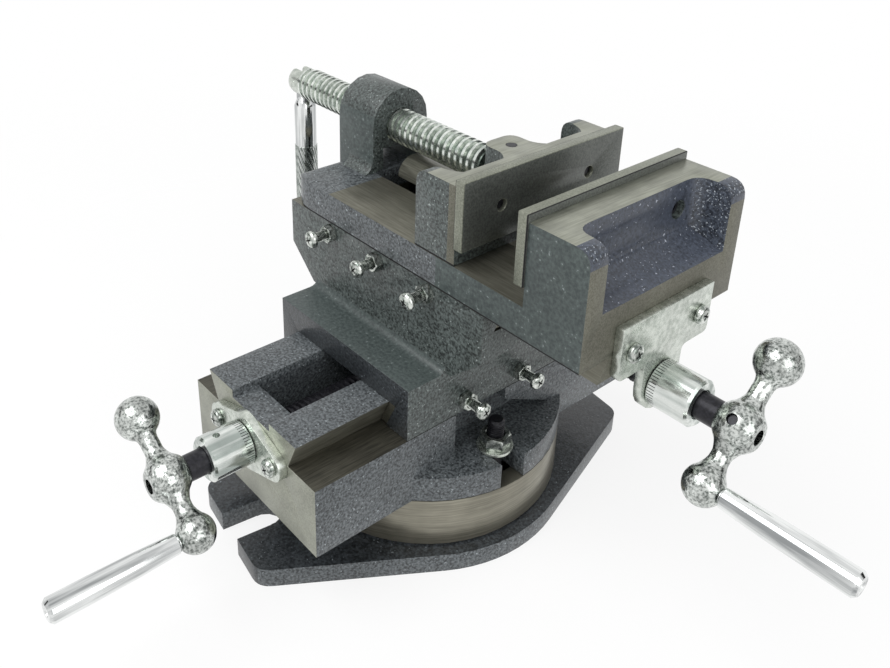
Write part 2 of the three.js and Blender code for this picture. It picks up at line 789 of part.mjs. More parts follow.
// Slab outline seen along Y, with its rear edges rounded.
function slabOutline() {
  const shape = new THREE.Shape();
  shape.moveTo(bodyEnd, slabBottom);
  shape.lineTo(bodyEnd, bedTop);
  shape.lineTo(-bodyEnd + slabCrownRadius, bedTop);
  shape.quadraticCurveTo(-bodyEnd, bedTop, -bodyEnd, bedTop - slabCrownRadius);
  shape.lineTo(-bodyEnd, slabBottom + slabRearRadius);
  shape.quadraticCurveTo(-bodyEnd, slabBottom, -bodyEnd + slabRearRadius, slabBottom);
  return shape;
}

// Slab outline seen from above, with its rear corners rounded.
function slabPlan() {
  const half = bodyWidth / 2;
  const corner = slabCornerRadius;
  const shape = new THREE.Shape();
  shape.moveTo(bodyEnd + overrun, -half - overrun);
  shape.lineTo(bodyEnd + overrun, half + overrun);
  shape.lineTo(-bodyEnd + corner, half + overrun);
  shape.lineTo(-bodyEnd + corner, half);
  shape.quadraticCurveTo(-bodyEnd, half, -bodyEnd, half - corner);
  shape.lineTo(-bodyEnd, -half + corner);
  shape.quadraticCurveTo(-bodyEnd, -half, -bodyEnd + corner, -half);
  shape.lineTo(-bodyEnd + corner, -half - overrun);
  return shape;
}

function fixedJawOutline() {
  const shape = new THREE.Shape();
  shape.moveTo(fixedJawFace, bedTop - overrun);
  shape.lineTo(bodyEnd, bedTop - overrun);
  shape.lineTo(bodyEnd, jawTop - jawCornerRadius);
  shape.quadraticCurveTo(bodyEnd, jawTop, bodyEnd - jawCornerRadius, jawTop);
  shape.lineTo(fixedJawFace, jawTop);
  return shape;
}

// Recess in the back of the fixed jaw, open above and behind.
function jawRecessOutline() {
  const sill = bedTop + jawRecessSill;
  const back = recessWallPlace;
  const shape = new THREE.Shape();
  shape.moveTo(bodyEnd + overrun, sill);
  shape.lineTo(bodyEnd + overrun, jawTop + overrun);
  shape.lineTo(back, jawTop + overrun);
  shape.lineTo(back, sill + jawRecessFillet);
  shape.quadraticCurveTo(back, sill + jawRecessFillet / 4, bodyEnd, sill);
  return shape;
}

// Plan of the same recess, its two inner corners rounded.
function jawRecessPlan() {
  const half = bodyWidth / 2 - jawCheek;
  const back = recessWallPlace;
  const corner = jawRecessCorner;
  const shape = new THREE.Shape();
  shape.moveTo(bodyEnd + overrun, -half);
  shape.lineTo(bodyEnd + overrun, half);
  shape.lineTo(back + corner, half);
  shape.quadraticCurveTo(back, half, back, half - corner);
  shape.lineTo(back, -half + corner);
  shape.quadraticCurveTo(back, -half, back + corner, -half);
  return shape;
}

// Arch outline seen along X, flared by so much where it meets the bed.
function archOutline(flare) {
  const shape = new THREE.Shape();
  const foot = archRadius + flare;
  shape.moveTo(-foot, bedTop - overrun);
  shape.lineTo(foot, bedTop - overrun);
  if (flare > 0) {
    shape.lineTo(foot, bedTop);
    shape.quadraticCurveTo(archRadius, bedTop, archRadius, bedTop + flare);
  }
  shape.absarc(0, archCentre, archRadius, 0, Math.PI, false);
  if (flare > 0) {
    shape.lineTo(-archRadius, bedTop + flare);
    shape.quadraticCurveTo(-archRadius, bedTop, -foot, bedTop);
  }
  return shape;
}

function viseBodyCasting() {
  const half = bodyWidth / 2;
  const slotHalf = bedSlotWidth / 2;
  const channelHalf = keeperChannelWidth / 2;
  const rail = dovetail(upperRailRootWidth, upperRailBottomWidth, slabBottom, upperRailBottom);
  const slotEnd = fixedPlateFace;
  let casting = prism('y', slabOutline(), -half, half)
    .intersect(prism('z', slabPlan(), slabBottom - overrun, bedTop + overrun))
    .add(block(-bodyEnd, archFront, -archRadius, archRadius, slabBottom + slabRearRadius, bedTop + archFoot))
    .add(prism('x', rail, -bodyEnd + slabRearRadius, bodyEnd))
    .add(prism('y', fixedJawOutline(), -half, half))
    .add(prism('x', archOutline(0), -bodyEnd, archFront))
    .add(prism('x', archOutline(archFoot), -bodyEnd + slabCrownRadius, archFront))
    .subtract(prism('y', jawRecessOutline(), -half, half)
      .intersect(prism('z', jawRecessPlan(), bedTop, jawTop + 2 * overrun)))
    .subtract(block(archFront, slotEnd, -slotHalf, slotHalf, upperRailBottom - overrun, bedTop + overrun))
    .subtract(block(-bodyEnd + keeperChannelEndWall, slotEnd, -channelHalf, channelHalf,
      upperRailBottom - overrun, keeperCeiling))
    .subtract(block(-bodyEnd - overrun, archFront + overrun, -archTunnelWidth / 2, archTunnelWidth / 2,
      bedTop, bedTop + archTunnelHeight))
    .subtract(bar('x', viseScrewRadius + boreGap, -bodyEnd - overrun, archFront + overrun, 0, viseScrewLevel));
  for (const side of [-1, 1]) {
    casting = casting
      .subtract(bar('x', plateScrewRadius + boreGap, fixedJawFace - overrun, recessWallPlace + overrun,
        side * plateScrewSpacing / 2, plateScrewLevel, smallSides))
      .subtract(bar('x', plateScrewHeadRadius + boreGap, recessWallPlace - plateScrewHeadDepth,
        recessWallPlace + overrun, side * plateScrewSpacing / 2, plateScrewLevel, smallSides))
      .subtract(bar('x', panShankRadius + boreGap, bodyEnd - panGrip, bodyEnd + overrun,
        side * strapScrewSpacing / 2, strapScrewLevel, smallSides));
  }
  return casting;
}

// Jaw plate with its working face at zero and its body towards -X.
function jawPlate() {
  const half = plateWidth / 2;
  let plate = block(-plateThickness, 0, -half, half, plateBottom, plateTop);
  for (const side of [-1, 1]) {
    plate = plate.subtract(bar('x', plateScrewRadius + boreGap, -plateThickness - overrun, overrun,
      side * plateScrewSpacing / 2, plateScrewLevel, smallSides));
  }
  return plate;
}

// Socket screw that reaches from its seat at zero to just below the plate's face.
function plateScrew(wall) {
  const grip = wall + seatGap + plateThickness - plateScrewStop;
  return turned([
    [0, -grip],
    [plateScrewRadius, -grip],
    [plateScrewRadius, seatGap],
    [plateScrewHeadRadius, seatGap],
    [plateScrewHeadRadius, plateScrewHeadHeight],
    [0, plateScrewHeadHeight],
  ], smallSides);
}

function addViseBody(group) {
  group.add(meshOf('vise_body', viseBodyCasting(), 'paint'));
  const plate = meshOf('fixed_jaw_plate', jawPlate(), 'plate');
  plate.rotation.z = Math.PI;
  plate.position.x = fixedPlateFace;
  group.add(plate);
  group.add(meshOf('upper_bearing_plate', upperBearingPlate(), 'zinc'));
  const wall = jawRecessWall - plateScrewHeadDepth;
  for (const [side, label] of [[-1, 'near'], [1, 'far']]) {
    const plateFix = meshOf(`fixed_plate_screw_${label}`, plateScrew(wall), 'black');
    group.add(aim(plateFix, alongX, fixedJawFace + wall, side * plateScrewSpacing / 2, plateScrewLevel));
    const pan = meshOf(`upper_bearing_screw_${label}`,
      panScrew(panGrip, panShankRadius, panRadius, panHeight), 'zinc');
    group.add(aim(pan, alongX, bodyEnd + bearingThickness + 2 * seatGap,
      side * strapScrewSpacing / 2, strapScrewLevel));
  }
}

// Plan of the movable jaw, its front at the plate's back: ears at both ends, boss in the middle.
function movableJawPlan() {
  const half = bodyWidth / 2;
  const front = -plateThickness - seatGap;
  const rear = -movableSideDepth;
  const web = -movableWebDepth;
  const boss = -bossLength;
  const earInner = half - earWidth;
  const root = bossHalfWidth + bossRootFlare;
  const shape = new THREE.Shape();
  shape.moveTo(front, -half);
  shape.lineTo(front, half);
  shape.lineTo(rear, half);
  shape.lineTo(rear, earInner);
  shape.quadraticCurveTo(web - earScoop, earInner, web, earInner - earScoop);
  shape.lineTo(web, root);
  shape.quadraticCurveTo(web - bossRootFlare, bossHalfWidth, web - 2 * bossRootFlare, bossHalfWidth);
  shape.lineTo(boss + bossCornerRadius, bossHalfWidth);
  shape.quadraticCurveTo(boss, bossHalfWidth, boss, bossHalfWidth - bossCornerRadius);
  shape.lineTo(boss, -bossHalfWidth + bossCornerRadius);
  shape.quadraticCurveTo(boss, -bossHalfWidth, boss + bossCornerRadius, -bossHalfWidth);
  shape.lineTo(web - 2 * bossRootFlare, -bossHalfWidth);
  shape.quadraticCurveTo(web - bossRootFlare, -bossHalfWidth, web, -root);
  shape.lineTo(web, -earInner + earScoop);
  shape.quadraticCurveTo(web - earScoop, -earInner, rear, -earInner);
  shape.lineTo(rear, -half);
  return shape;
}

// What the rounded rear edge of each ear leaves out, seen along Y.
function earRoundingOutline() {
  const rear = -movableSideDepth;
  const radius = movableTopRadius;
  const shape = new THREE.Shape();
  shape.moveTo(rear - overrun, jawTop - radius);
  shape.lineTo(rear, jawTop - radius);
  shape.quadraticCurveTo(rear, jawTop, rear + radius, jawTop);
  shape.lineTo(rear + radius, jawTop + overrun);
  shape.lineTo(rear - overrun, jawTop + overrun);
  return shape;
}

function movableJawCasting() {
  const half = bodyWidth / 2;
  const bottom = bedTop + slideGap;
  const tongueHalf = bedSlotWidth / 2 - slideGap;
  const earInner = half - earWidth - earScoop;
  const tail = bar('x', tailRadius, -tailLength, -movableWebDepth, 0, bottom)
    .intersect(block(-tailLength - overrun, 0, -tailRadius, tailRadius, bottom, bottom + 2 * tailRadius));
  let casting = prism('z', movableJawPlan(), bottom, jawTop)
    .add(tail)
    .add(block(-tongueStart - tongueLength, -tongueStart, -tongueHalf, tongueHalf,
      keeperCeiling - slideGap, bottom + seatGap))
    .subtract(bar('x', viseNeckRadius + boreGap, -bossLength - overrun,
      -bossLength + viseNeckLength + slideGap, 0, viseScrewLevel))
    .subtract(bar('z', retainingPinRadius + boreGap, viseScrewLevel, jawTop + overrun,
      -retainingPinPlace, 0, smallSides));
  for (const side of [-1, 1]) {
    const [low, high] = [side * earInner, side * (half + overrun)].sort((p, q) => p - q);
    casting = casting
      .subtract(prism('y', earRoundingOutline(), low, high))
      .subtract(bar('x', plateScrewRadius + boreGap, -movableWebDepth - overrun, 0,
        side * plateScrewSpacing / 2, plateScrewLevel, smallSides))
      .subtract(bar('z', keeperScrewRadius + boreGap, keeperCeiling - slideGap - overrun,
        keeperCeiling - slideGap + keeperScrewGrip, keeperMiddle + side * keeperScrewSpacing / 2, 0, smallSides));
  }
  return casting;
}

// The pin ends just above the groove of the screw's neck; the keeper is centred under the tongue.
const retainingPinBottom = viseScrewLevel + viseGrooveRadius + boreGap;
const keeperMiddle = -tongueStart - tongueLength / 2;

// Keeper plate that holds the jaw down, sliding under the bed.
function jawKeeper() {
  const half = keeperChannelWidth / 2 - slideGap;
  const reach = tongueLength / 2;
  const top = keeperCeiling - slideGap - seatGap;
  let keeper = block(keeperMiddle - reach, keeperMiddle + reach, -half, half, top - keeperThickness, top);
  for (const side of [-1, 1]) {
    keeper = keeper.subtract(bar('z', keeperScrewRadius + boreGap, top - keeperThickness - overrun, top + overrun,
      keeperMiddle + side * keeperScrewSpacing / 2, 0, smallSides));
  }
  return keeper;
}

function keeperScrew() {
  return panScrew(keeperThickness + keeperScrewGrip - slideGap, keeperScrewRadius,
    keeperScrewHeadRadius, keeperScrewHeadHeight);
}

function addMovableJaw(group) {
  group.add(meshOf('movable_jaw', movableJawCasting(), 'paint'));
  group.add(meshOf('movable_jaw_plate', jawPlate(), 'plate'));
  group.add(meshOf('jaw_keeper', jawKeeper(), 'iron'));
  const pin = meshOf('retaining_pin', bar('z', retainingPinRadius, 0, jawTop - retainingPinBottom,
    0, 0, smallSides), 'black');
  pin.position.set(-retainingPinPlace, 0, retainingPinBottom);
  group.add(pin);
  const keeperBottom = keeperCeiling - slideGap - 2 * seatGap - keeperThickness;
  for (const [side, label] of [[-1, 'near'], [1, 'far']]) {
    const screw = meshOf(`movable_plate_screw_${label}`,
      plateScrew(movableWebDepth - plateThickness - seatGap), 'black');
    group.add(aim(screw, alongX.clone().negate(), -movableWebDepth,
      side * plateScrewSpacing / 2, plateScrewLevel));
  }
  for (const [side, label] of [[-1, 'rear'], [1, 'front']]) {
    const screw = meshOf(`keeper_screw_${label}`, keeperScrew(), 'black');
    group.add(aim(screw, alongZ.clone().negate(), keeperMiddle + side * keeperScrewSpacing / 2, 0, keeperBottom));
  }
}

// Vise screw along +Z: neck with the pin's groove first, then the thread, then the slotted head.
function viseScrew() {
  const grooveStart = viseNeckLength - (bossLength - retainingPinPlace) - viseGrooveWidth / 2;
  const threadStart = viseNeckLength + slideGap;
  const profile = [
    [0, 0],
    [viseNeckRadius, 0],
    [viseNeckRadius, grooveStart],
    [viseGrooveRadius, grooveStart],
    [viseGrooveRadius, grooveStart + viseGrooveWidth],
    [viseNeckRadius, grooveStart + viseGrooveWidth],
    [viseNeckRadius, threadStart],
  ];
  for (let turn = 0; turn < viseThreadTurns; turn += 1) {
    const place = threadStart + turn * viseScrewPitch;
    profile.push([viseScrewRadius - viseThreadDepth, place]);
    profile.push([viseScrewRadius, place + viseScrewPitch / 2]);
  }
  const threadEnd = threadStart + viseThreadTurns * viseScrewPitch;
  profile.push(
    [viseHeadRadius, threadEnd],
    [viseHeadRadius, threadEnd + viseHeadLength * headBarrelShare],
    [viseHeadRadius * headBarrelShare, threadEnd + viseHeadLength],
    [0, threadEnd + viseHeadLength],
  );
  const half = handleForkWidth / 2;
  const pinPlace = threadEnd + handlePinPlace;
  return turned(profile, smallSides + 2)
    .subtract(block(-viseScrewRadius, viseScrewRadius, -half, half, pinPlace - handleEyeRadius - slideGap,
      threadEnd + viseHeadLength + overrun))
    .subtract(bar('y', handlePinRadius + boreGap, -viseScrewRadius, viseScrewRadius, 0, pinPlace, smallSides));
}

// Place of the handle's pin from the screw's inner end.
const handlePinDistance = viseNeckLength + slideGap + viseThreadTurns * viseScrewPitch + handlePinPlace;

// Hinged handle hanging along -Z from its pin at zero.
function screwHandle() {
  const half = handleForkWidth / 2 - slideGap;
  const shankStart = viseHeadRadius + slideGap;
  const shoulder = shankStart + handleShankRadius;
  const shank = turned([
    [0, shankStart],
    [half, shankStart],
    [handleShankRadius, shoulder],
    [handleShankRadius, handleShankLength],
    [handleKnurlRadius, handleShankLength],
    [handleKnurlRadius, handleLength - gripChamfer],
    [handleKnurlRadius - gripChamfer, handleLength],
    [0, handleLength],
  ], roundSides / 2).rotate([180, 0, 0]);
  return bar('y', handleEyeRadius, -half, half, 0, 0, smallSides)
    .add(block(-handleNeckHalf, handleNeckHalf, -half, half, -shoulder, 0))
    .add(shank)
    .subtract(bar('y', handlePinRadius + boreGap, -handleForkWidth, handleForkWidth, 0, 0, smallSides));
}

// The screw's group has its +Z along the vise's -X, so the frames are set here.
function addViseScrew(group) {
  const screw = new THREE.Group();
  screw.quaternion.setFromUnitVectors(alongZ, alongX.clone().negate());
  screw.position.set(-bossLength + viseNeckLength, 0, viseScrewLevel);
  screw.add(meshOf('vise_screw', viseScrew(), 'zinc'));
  const pinHalf = viseHeadRadius - seatGap;
  const pin = meshOf('handle_pin', bar('y', handlePinRadius, -pinHalf, pinHalf, 0, handlePinDistance,
    smallSides), 'zinc');
  screw.add(pin);
  group.add(screw);
  const handle = meshOf('screw_handle', screwHandle(), 'chrome');
  handle.position.set(-bossLength + viseNeckLength - handlePinDistance, 0, viseScrewLevel);
  group.add(handle);
}

// Feed screw along +Z, zero at the face that its bearing plate lies on; inward is -Z.
function feedScrew(inwardLength, collarPlace) {
  const outer = crankReach + crankShaftEnd;
  const profile = [
    [0, -inwardLength],
    [feedRadius, -inwardLength],
    [feedRadius, -collarPlace - feedCollarLength],
    [feedCollarRadius, -collarPlace - feedCollarLength],
    [feedCollarRadius, -collarPlace],
    [feedRadius, -collarPlace],
    [feedRadius, outer],
    [0, outer],
  ];
  return turned(profile, smallSides + 2)
    .subtract(bar('y', crankPinRadius + boreGap, -hubRadius, hubRadius, 0, crankReach, smallSides));
}

function dial() {
  const start = bearingThickness + seatGap + slideGap;
  const end = start + dialLength;
  const bore = feedRadius + boreGap;
  return turned([
    [bore, start],
    [dialRadius, start],
    [dialRadius, end - dialChamfer],
    [dialRadius - dialChamfer, end],
    [bore, end],
    [bore, start],
  ]);
}

// Three-ball crank across +Z, its weight along +X and its grip ball along -X.
function crank() {
  const arm = armRadius + gripChamfer;
  const flat = hubHalfLength;
  return ball(hubRadius, 0, 0, 0)
    .intersect(block(-hubRadius - overrun, hubRadius + overrun, -hubRadius - overrun, hubRadius + overrun,
      -flat, flat))
    .add(bar('x', armRadius, 0, weightArm, 0, 0, smallSides))
    .add(bar('x', armRadius, -gripArm, 0, 0, 0, smallSides))
    .add(bar('x', arm, 0, hubRadius, 0, 0, smallSides))
    .add(bar('x', arm, -hubRadius, 0, 0, 0, smallSides))
    .add(ball(weightRadius, weightArm, 0, 0))
    .add(ball(gripBallRadius, -gripArm, 0, 0))
    .subtract(bar('z', feedRadius + boreGap, -flat - overrun, flat + overrun, 0, 0, roundSides))
    .subtract(bar('z', gripStubRadius + boreGap, 0, gripBallRadius + overrun, -gripArm, 0, smallSides))
    .subtract(bar('y', crankPinRadius + boreGap, -hubRadius - overrun, hubRadius + overrun, 0, 0, smallSides));
}

function grip() {
  const stubEnd = gripStart - gripStubLength + overrun;
  return turned([
    [0, stubEnd],
    [gripStubRadius, stubEnd],
    [gripStubRadius, gripStart + slideGap],
    [gripRootRadius, gripStart + slideGap],
    [gripEndRadius, gripStart + gripLength / 3],
    [gripEndRadius, gripStart + gripLength - gripChamfer],
    [gripEndRadius - gripChamfer, gripStart + gripLength],
    [0, gripStart + gripLength],
  ], roundSides / 2 + 2);
}

// Adds a feed screw with its dial, crank, pin and grip; the group's +Z is the shaft.
function addFeed(parent, label, inwardLength, collarPlace, direction, position, crankDegrees) {
  const group = new THREE.Group();
  const toward = new THREE.Quaternion().setFromUnitVectors(alongZ, direction);
  const start = alongX.clone().applyQuaternion(toward);
  const side = new THREE.Vector3().crossVectors(alongZ, direction);
  const angle = (crankDegrees * Math.PI) / 180;
  const wanted = side.multiplyScalar(Math.cos(angle)).addScaledVector(alongZ, Math.sin(angle));
  group.quaternion.setFromUnitVectors(start, wanted).multiply(toward);
  group.position.copy(position);
  group.add(meshOf(`${label}_feed_screw`, feedScrew(inwardLength, collarPlace), 'black'));
  group.add(meshOf(`${label}_dial`, dial(), 'zinc'));
  const arm = meshOf(`${label}_crank`, crank(), 'chrome');
  arm.position.z = crankReach;
  const pinHalf = hubRadius - overrun;
  const pin = meshOf(`${label}_crank_pin`, bar('y', crankPinRadius, -pinHalf, pinHalf, 0, 0, smallSides), 'black');
  pin.position.z = crankReach;
  const handle = meshOf(`${label}_grip`, grip(), 'chrome');
  handle.position.set(-gripArm, 0, crankReach);
  group.add(arm, pin, handle);
  parent.add(group);
}

function addLowerSlide(group) {
  group.add(meshOf('lower_slide', lowerSlideCasting(), 'paint'));
  group.add(meshOf('lower_bearing_plate', lowerBearingPlate(), 'zinc'));
  addClamps(group);
  const seat = -lowerSlideLength / 2 - bearingThickness - 2 * seatGap;
  for (const [side, label] of [[-1, 'left'], [1, 'right']]) {
    const pan = meshOf(`lower_bearing_screw_${label}`,
      panScrew(panGrip, panShankRadius, panRadius, panHeight), 'zinc');
    group.add(aim(pan, alongY.clone().negate(), side * lozengeReach, seat, lowerFeedLevel));
  }
}

// The whole vise, each moving group inside the one that carries it.
function crossSlideVise() {
  const vise = new THREE.Group();
  const base = new THREE.Group();
  base.rotation.z = (footTurnDegrees * Math.PI) / 180;
  base.add(meshOf('base', baseCasting(), 'paint'));
  const lowerSlide = new THREE.Group();
  addLowerSlide(lowerSlide);
  addFeed(lowerSlide, 'lower', lowerSlideLength - pocketEndWall / 2, pocketEndWall + slideGap,
    alongY.clone().negate(), new THREE.Vector3(0, -lowerSlideLength / 2, lowerFeedLevel), lowerCrankDegrees);
  const saddle = new THREE.Group();
  saddle.position.y = saddleShift;
  addSaddle(saddle);
  const body = new THREE.Group();
  body.position.x = bodyShift;
  addViseBody(body);
  addFeed(body, 'upper', upperFeedReach, slideGap,
    alongX.clone(), new THREE.Vector3(bodyEnd, 0, upperFeedLevel), upperCrankDegrees);
  const jaw = new THREE.Group();
  jaw.position.x = movablePlateFace;
  addMovableJaw(jaw);
  addViseScrew(jaw);
  body.add(jaw);
  saddle.add(body);
  vise.add(base, lowerSlide, saddle);
  return vise;
}

const vise = crossSlideVise();

export default vise;
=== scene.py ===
"""Cross slide vise for a drill press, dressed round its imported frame.

Each sub-assembly is a class that builds and dresses its own pieces. All sizes are millimetres
and become metres in one place, and +Z is up.
"""
from __future__ import annotations
import logging
import math
from collections.abc import Callable, Iterator, Sequence
from contextlib import contextmanager
from dataclasses import dataclass, field, replace
from enum import Enum

import bpy
from mathutils import Matrix, Vector


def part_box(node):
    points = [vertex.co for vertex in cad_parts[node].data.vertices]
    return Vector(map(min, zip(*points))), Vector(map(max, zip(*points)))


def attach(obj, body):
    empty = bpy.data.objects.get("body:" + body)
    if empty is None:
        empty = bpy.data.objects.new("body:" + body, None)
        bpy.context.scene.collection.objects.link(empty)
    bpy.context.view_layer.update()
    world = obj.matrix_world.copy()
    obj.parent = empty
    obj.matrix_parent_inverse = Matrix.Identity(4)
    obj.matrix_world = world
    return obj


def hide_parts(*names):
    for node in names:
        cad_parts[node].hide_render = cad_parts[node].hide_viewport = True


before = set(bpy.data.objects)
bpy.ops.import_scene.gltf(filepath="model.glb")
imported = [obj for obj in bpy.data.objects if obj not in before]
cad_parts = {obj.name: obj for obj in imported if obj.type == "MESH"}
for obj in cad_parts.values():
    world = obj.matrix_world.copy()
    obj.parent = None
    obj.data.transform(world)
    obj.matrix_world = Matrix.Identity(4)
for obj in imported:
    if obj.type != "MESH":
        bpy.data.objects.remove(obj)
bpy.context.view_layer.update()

log = logging.getLogger("vise")

MM = 0.001
PHOTO_SIZE = (890, 668)
Point = tuple[float, float, float]
Colour = tuple[float, float, float, float]

X, Y, Z = range(3)
ORIGIN = Vector((0, 0, 0))
RIGHT, LEFT = Vector((1, 0, 0)), Vector((-1, 0, 0))
FAR, NEAR = Vector((0, 1, 0)), Vector((0, -1, 0))
UP, DOWN = Vector((0, 0, 1)), Vector((0, 0, -1))

# Middle plane of the vise body, its jaws and its screw, and how far off it their sides are.
VISE_MIDDLE = 16.6
OUTSIDE_FROM = 48.0
# How far a face may lie from the level that it belongs to.
LEVEL_PLAY = 0.3
# Shares of a normal along an axis, from a slight lean to a face square to it.
SLIGHT, HALF, STEEP, FLAT, SQUARE = 0.2, 0.5, 0.7, 0.92, 0.99


class Slot(str, Enum):
    """Material slots."""

    PAINT = "paint"
    PLATE = "plate"
    ZINC = "zinc"
    CHROME = "chrome"
    BLACK = "black"


class Body(str, Enum):
    """Moving bodies of the frame."""

    BASE = "base"
    LOWER_SLIDE = "lower_slide"
    LOWER_CRANK = "lower_crank"
    LOWER_GRIP = "lower_grip"
    SADDLE = "saddle"
    VISE_BODY = "vise_body"
    UPPER_CRANK = "upper_crank"
    UPPER_GRIP = "upper_grip"
    MOVABLE_JAW = "movable_jaw"
    VISE_SCREW = "vise_screw"
    HANDLE = "screw_handle"


class Lay(Enum):
    """Direction of a cutter's marks, as the stretch of the pattern along X, Y and Z."""

    NONE = (1.0, 1.0, 1.0)
    ALONG_X = (0.05, 1.0, 1.0)
    ALONG_Y = (1.0, 0.05, 1.0)
    ALONG_Z = (1.0, 1.0, 0.05)
    ROUND_Z = (0.03, 0.03, 1.0)


# Finishes


def linear(colour: str) -> Colour:
    """Turns an sRGB hex colour to linear RGBA.

    Args:
        colour: Colour as "#rrggbb".

    Returns:
        Red, green, blue and an alpha of one.
    """
    parts = [int(colour[i:i + 2], 16) / 255 for i in (1, 3, 5)]
    red, green, blue = (
        part / 12.92 if part <= 0.04045 else ((part + 0.055) / 1.055) ** 2.4 for part in parts
    )
    return red, green, blue, 1.0


def add_node(
    tree: bpy.types.NodeTree,
    kind: str,
    settings: dict[str, object] | None = None,
    values: dict[str | int, object] | None = None,
    links: dict[str | int, bpy.types.NodeSocket] | None = None,
) -> bpy.types.Node:
    """Adds one shader node with its settings, constant inputs and links.

    Args:
        tree: Node tree to add to.
        kind: Blender's node type.
        settings: Attributes of the node.
        values: Constant values by input.
        links: Output sockets by the input that they feed.

    Returns:
        The new node.
    """
    made = tree.nodes.new(kind)
    for name, value in (settings or {}).items():
        setattr(made, name, value)
    for key, value in (values or {}).items():
        made.inputs[key].default_value = value
    for key, socket in (links or {}).items():
        tree.links.new(socket, made.inputs[key])
    return made


def ramp(
    tree: bpy.types.NodeTree,
    source: bpy.types.NodeSocket,
    stops: Sequence[tuple[float, Colour]],
) -> bpy.types.NodeSocket:
    """Maps a value through colour stops.

    Args:
        tree: Node tree to add to.
        source: Value between zero and one.
        stops: Places and colours, lowest first.

    Returns:
        The colour output.
    """
    made = add_node(tree, "ShaderNodeValToRGB", links={0: source})
    band = made.color_ramp
    while len(band.elements) < len(stops):
        band.elements.new(1.0)
    for element, (place, colour) in zip(band.elements, stops):
        element.position = place
        element.color = colour
    return made.outputs[0]


def grey(value: float) -> Colour:
    """Makes a grey of one linear value."""
    return value, value, value, 1.0


def empty_tree(owner: bpy.types.Material | bpy.types.World) -> bpy.types.NodeTree:
    """Gives a material or a world a node tree with nothing in it.

    Args:
        owner: Material or world.

    Returns:
        Its node tree.
    """
    owner.use_nodes = True
    owner.node_tree.nodes.clear()
    return owner.node_tree


WHITE, BLACK = grey(1.0), grey(0.0)
# Noise levels between which a slow patch turns from dark to light, and a fleck's soft edge.
PATCH_FROM, PATCH_TO = 0.38, 0.62
FLECK_EDGE = 0.05
COAT_ROUGHNESS = 0.15
# A blotch of noise is this share of the noise's own scale, and each octave fades by the other.
BLOTCH_SHARE = 0.6
OCTAVE_FADE = 0.55


@dataclass(frozen=True)
class Finish:
    """One finish with its grain, slow patches, flecks, gloss and relief.

    Sizes are in millimetres: grain is the fine pattern, patch the slow change of tone.
    """

    name: str
    dark: str
    light: str
    grain: float
    metallic: float
    gloss: tuple[float, float]
    relief: float
    lay: Lay = Lay.NONE
    contrast: tuple[float, float] = (0.35, 0.65)
    patch: float = 30.0
    patch_dark: float = 0.86
    fleck: str = ""
    fleck_size: float = 0.6
    fleck_from: float = 0.7
    lump: float = 0.0
    lump_size: float = 2.5
    coat: float = 0.0

    def build(self) -> bpy.types.Material:
        """Makes the material once and hands it back on later calls.

        Returns:
            The material.
        """
        known = bpy.data.materials.get(self.name)
        if known:
            return known
        material = bpy.data.materials.new(self.name)
        tree = empty_tree(material)
        place = add_node(tree, "ShaderNodeTexCoord").outputs["Object"]
        laid = add_node(
            tree, "ShaderNodeMapping", values={"Scale": self.lay.value}, links={"Vector": place}
        ).outputs[0]
        grain = self._noise(tree, laid, self.grain, 4.0)
        patch = self._noise(tree, place, self.patch, 3.0)
        colour = ramp(tree, grain, [
            (self.contrast[0], linear(self.dark)), (self.contrast[1], linear(self.light)),
        ])
        slow = ramp(tree, patch, [(PATCH_FROM, grey(self.patch_dark)), (PATCH_TO, WHITE)])
        colour = add_node(
            tree, "ShaderNodeMix", {"data_type": "RGBA", "blend_type": "MULTIPLY"},
            {0: 1.0}, {6: colour, 7: slow},
        ).outputs[2]
        if self.fleck:
            spots = self._noise(tree, place, self.fleck_size, 1.0)
            share = ramp(tree, spots, [
                (self.fleck_from, BLACK), (self.fleck_from + FLECK_EDGE, WHITE),
            ])
            colour = add_node(
                tree, "ShaderNodeMix", {"data_type": "RGBA"}, {7: linear(self.fleck)},
                {0: share, 6: colour},
            ).outputs[2]
        gloss = add_node(
            tree, "ShaderNodeMapRange", values={3: self.gloss[0], 4: self.gloss[1]},
            links={0: grain},
        ).outputs[0]
        normal = add_node(
            tree, "ShaderNodeBump", values={"Strength": 1.0, "Distance": self.relief * MM},
            links={"Height": grain},
        ).outputs[0]
        if self.lump:
            lumps = self._noise(tree, place, self.lump_size, 2.0)
            normal = add_node(
                tree, "ShaderNodeBump", values={"Strength": 1.0, "Distance": self.lump * MM},
                links={"Height": lumps, "Normal": normal},
            ).outputs[0]
        shader = add_node(
            tree, "ShaderNodeBsdfPrincipled",
            values={"Metallic": self.metallic, "Coat Weight": self.coat,
                    "Coat Roughness": COAT_ROUGHNESS},
            links={"Base Color": colour, "Roughness": gloss, "Normal": normal},
        )
        add_node(tree, "ShaderNodeOutputMaterial", links={"Surface": shader.outputs[0]})
        return material

    @staticmethod
    def _noise(
        tree: bpy.types.NodeTree, place: bpy.types.NodeSocket, size: float, detail: float
    ) -> bpy.types.NodeSocket:
        """Adds noise whose blotches are about the given size.

        Args:
            tree: Node tree to add to.
            place: Coordinates in metres.
            size: Size of a blotch in millimetres.
            detail: Octaves of finer noise.

        Returns:
            The value output.
        """
        return add_node(
            tree, "ShaderNodeTexNoise",
            values={"Scale": BLOTCH_SHARE / (size * MM), "Detail": detail,
                    "Roughness": OCTAVE_FADE},
            links={"Vector": place},
        ).outputs[0]


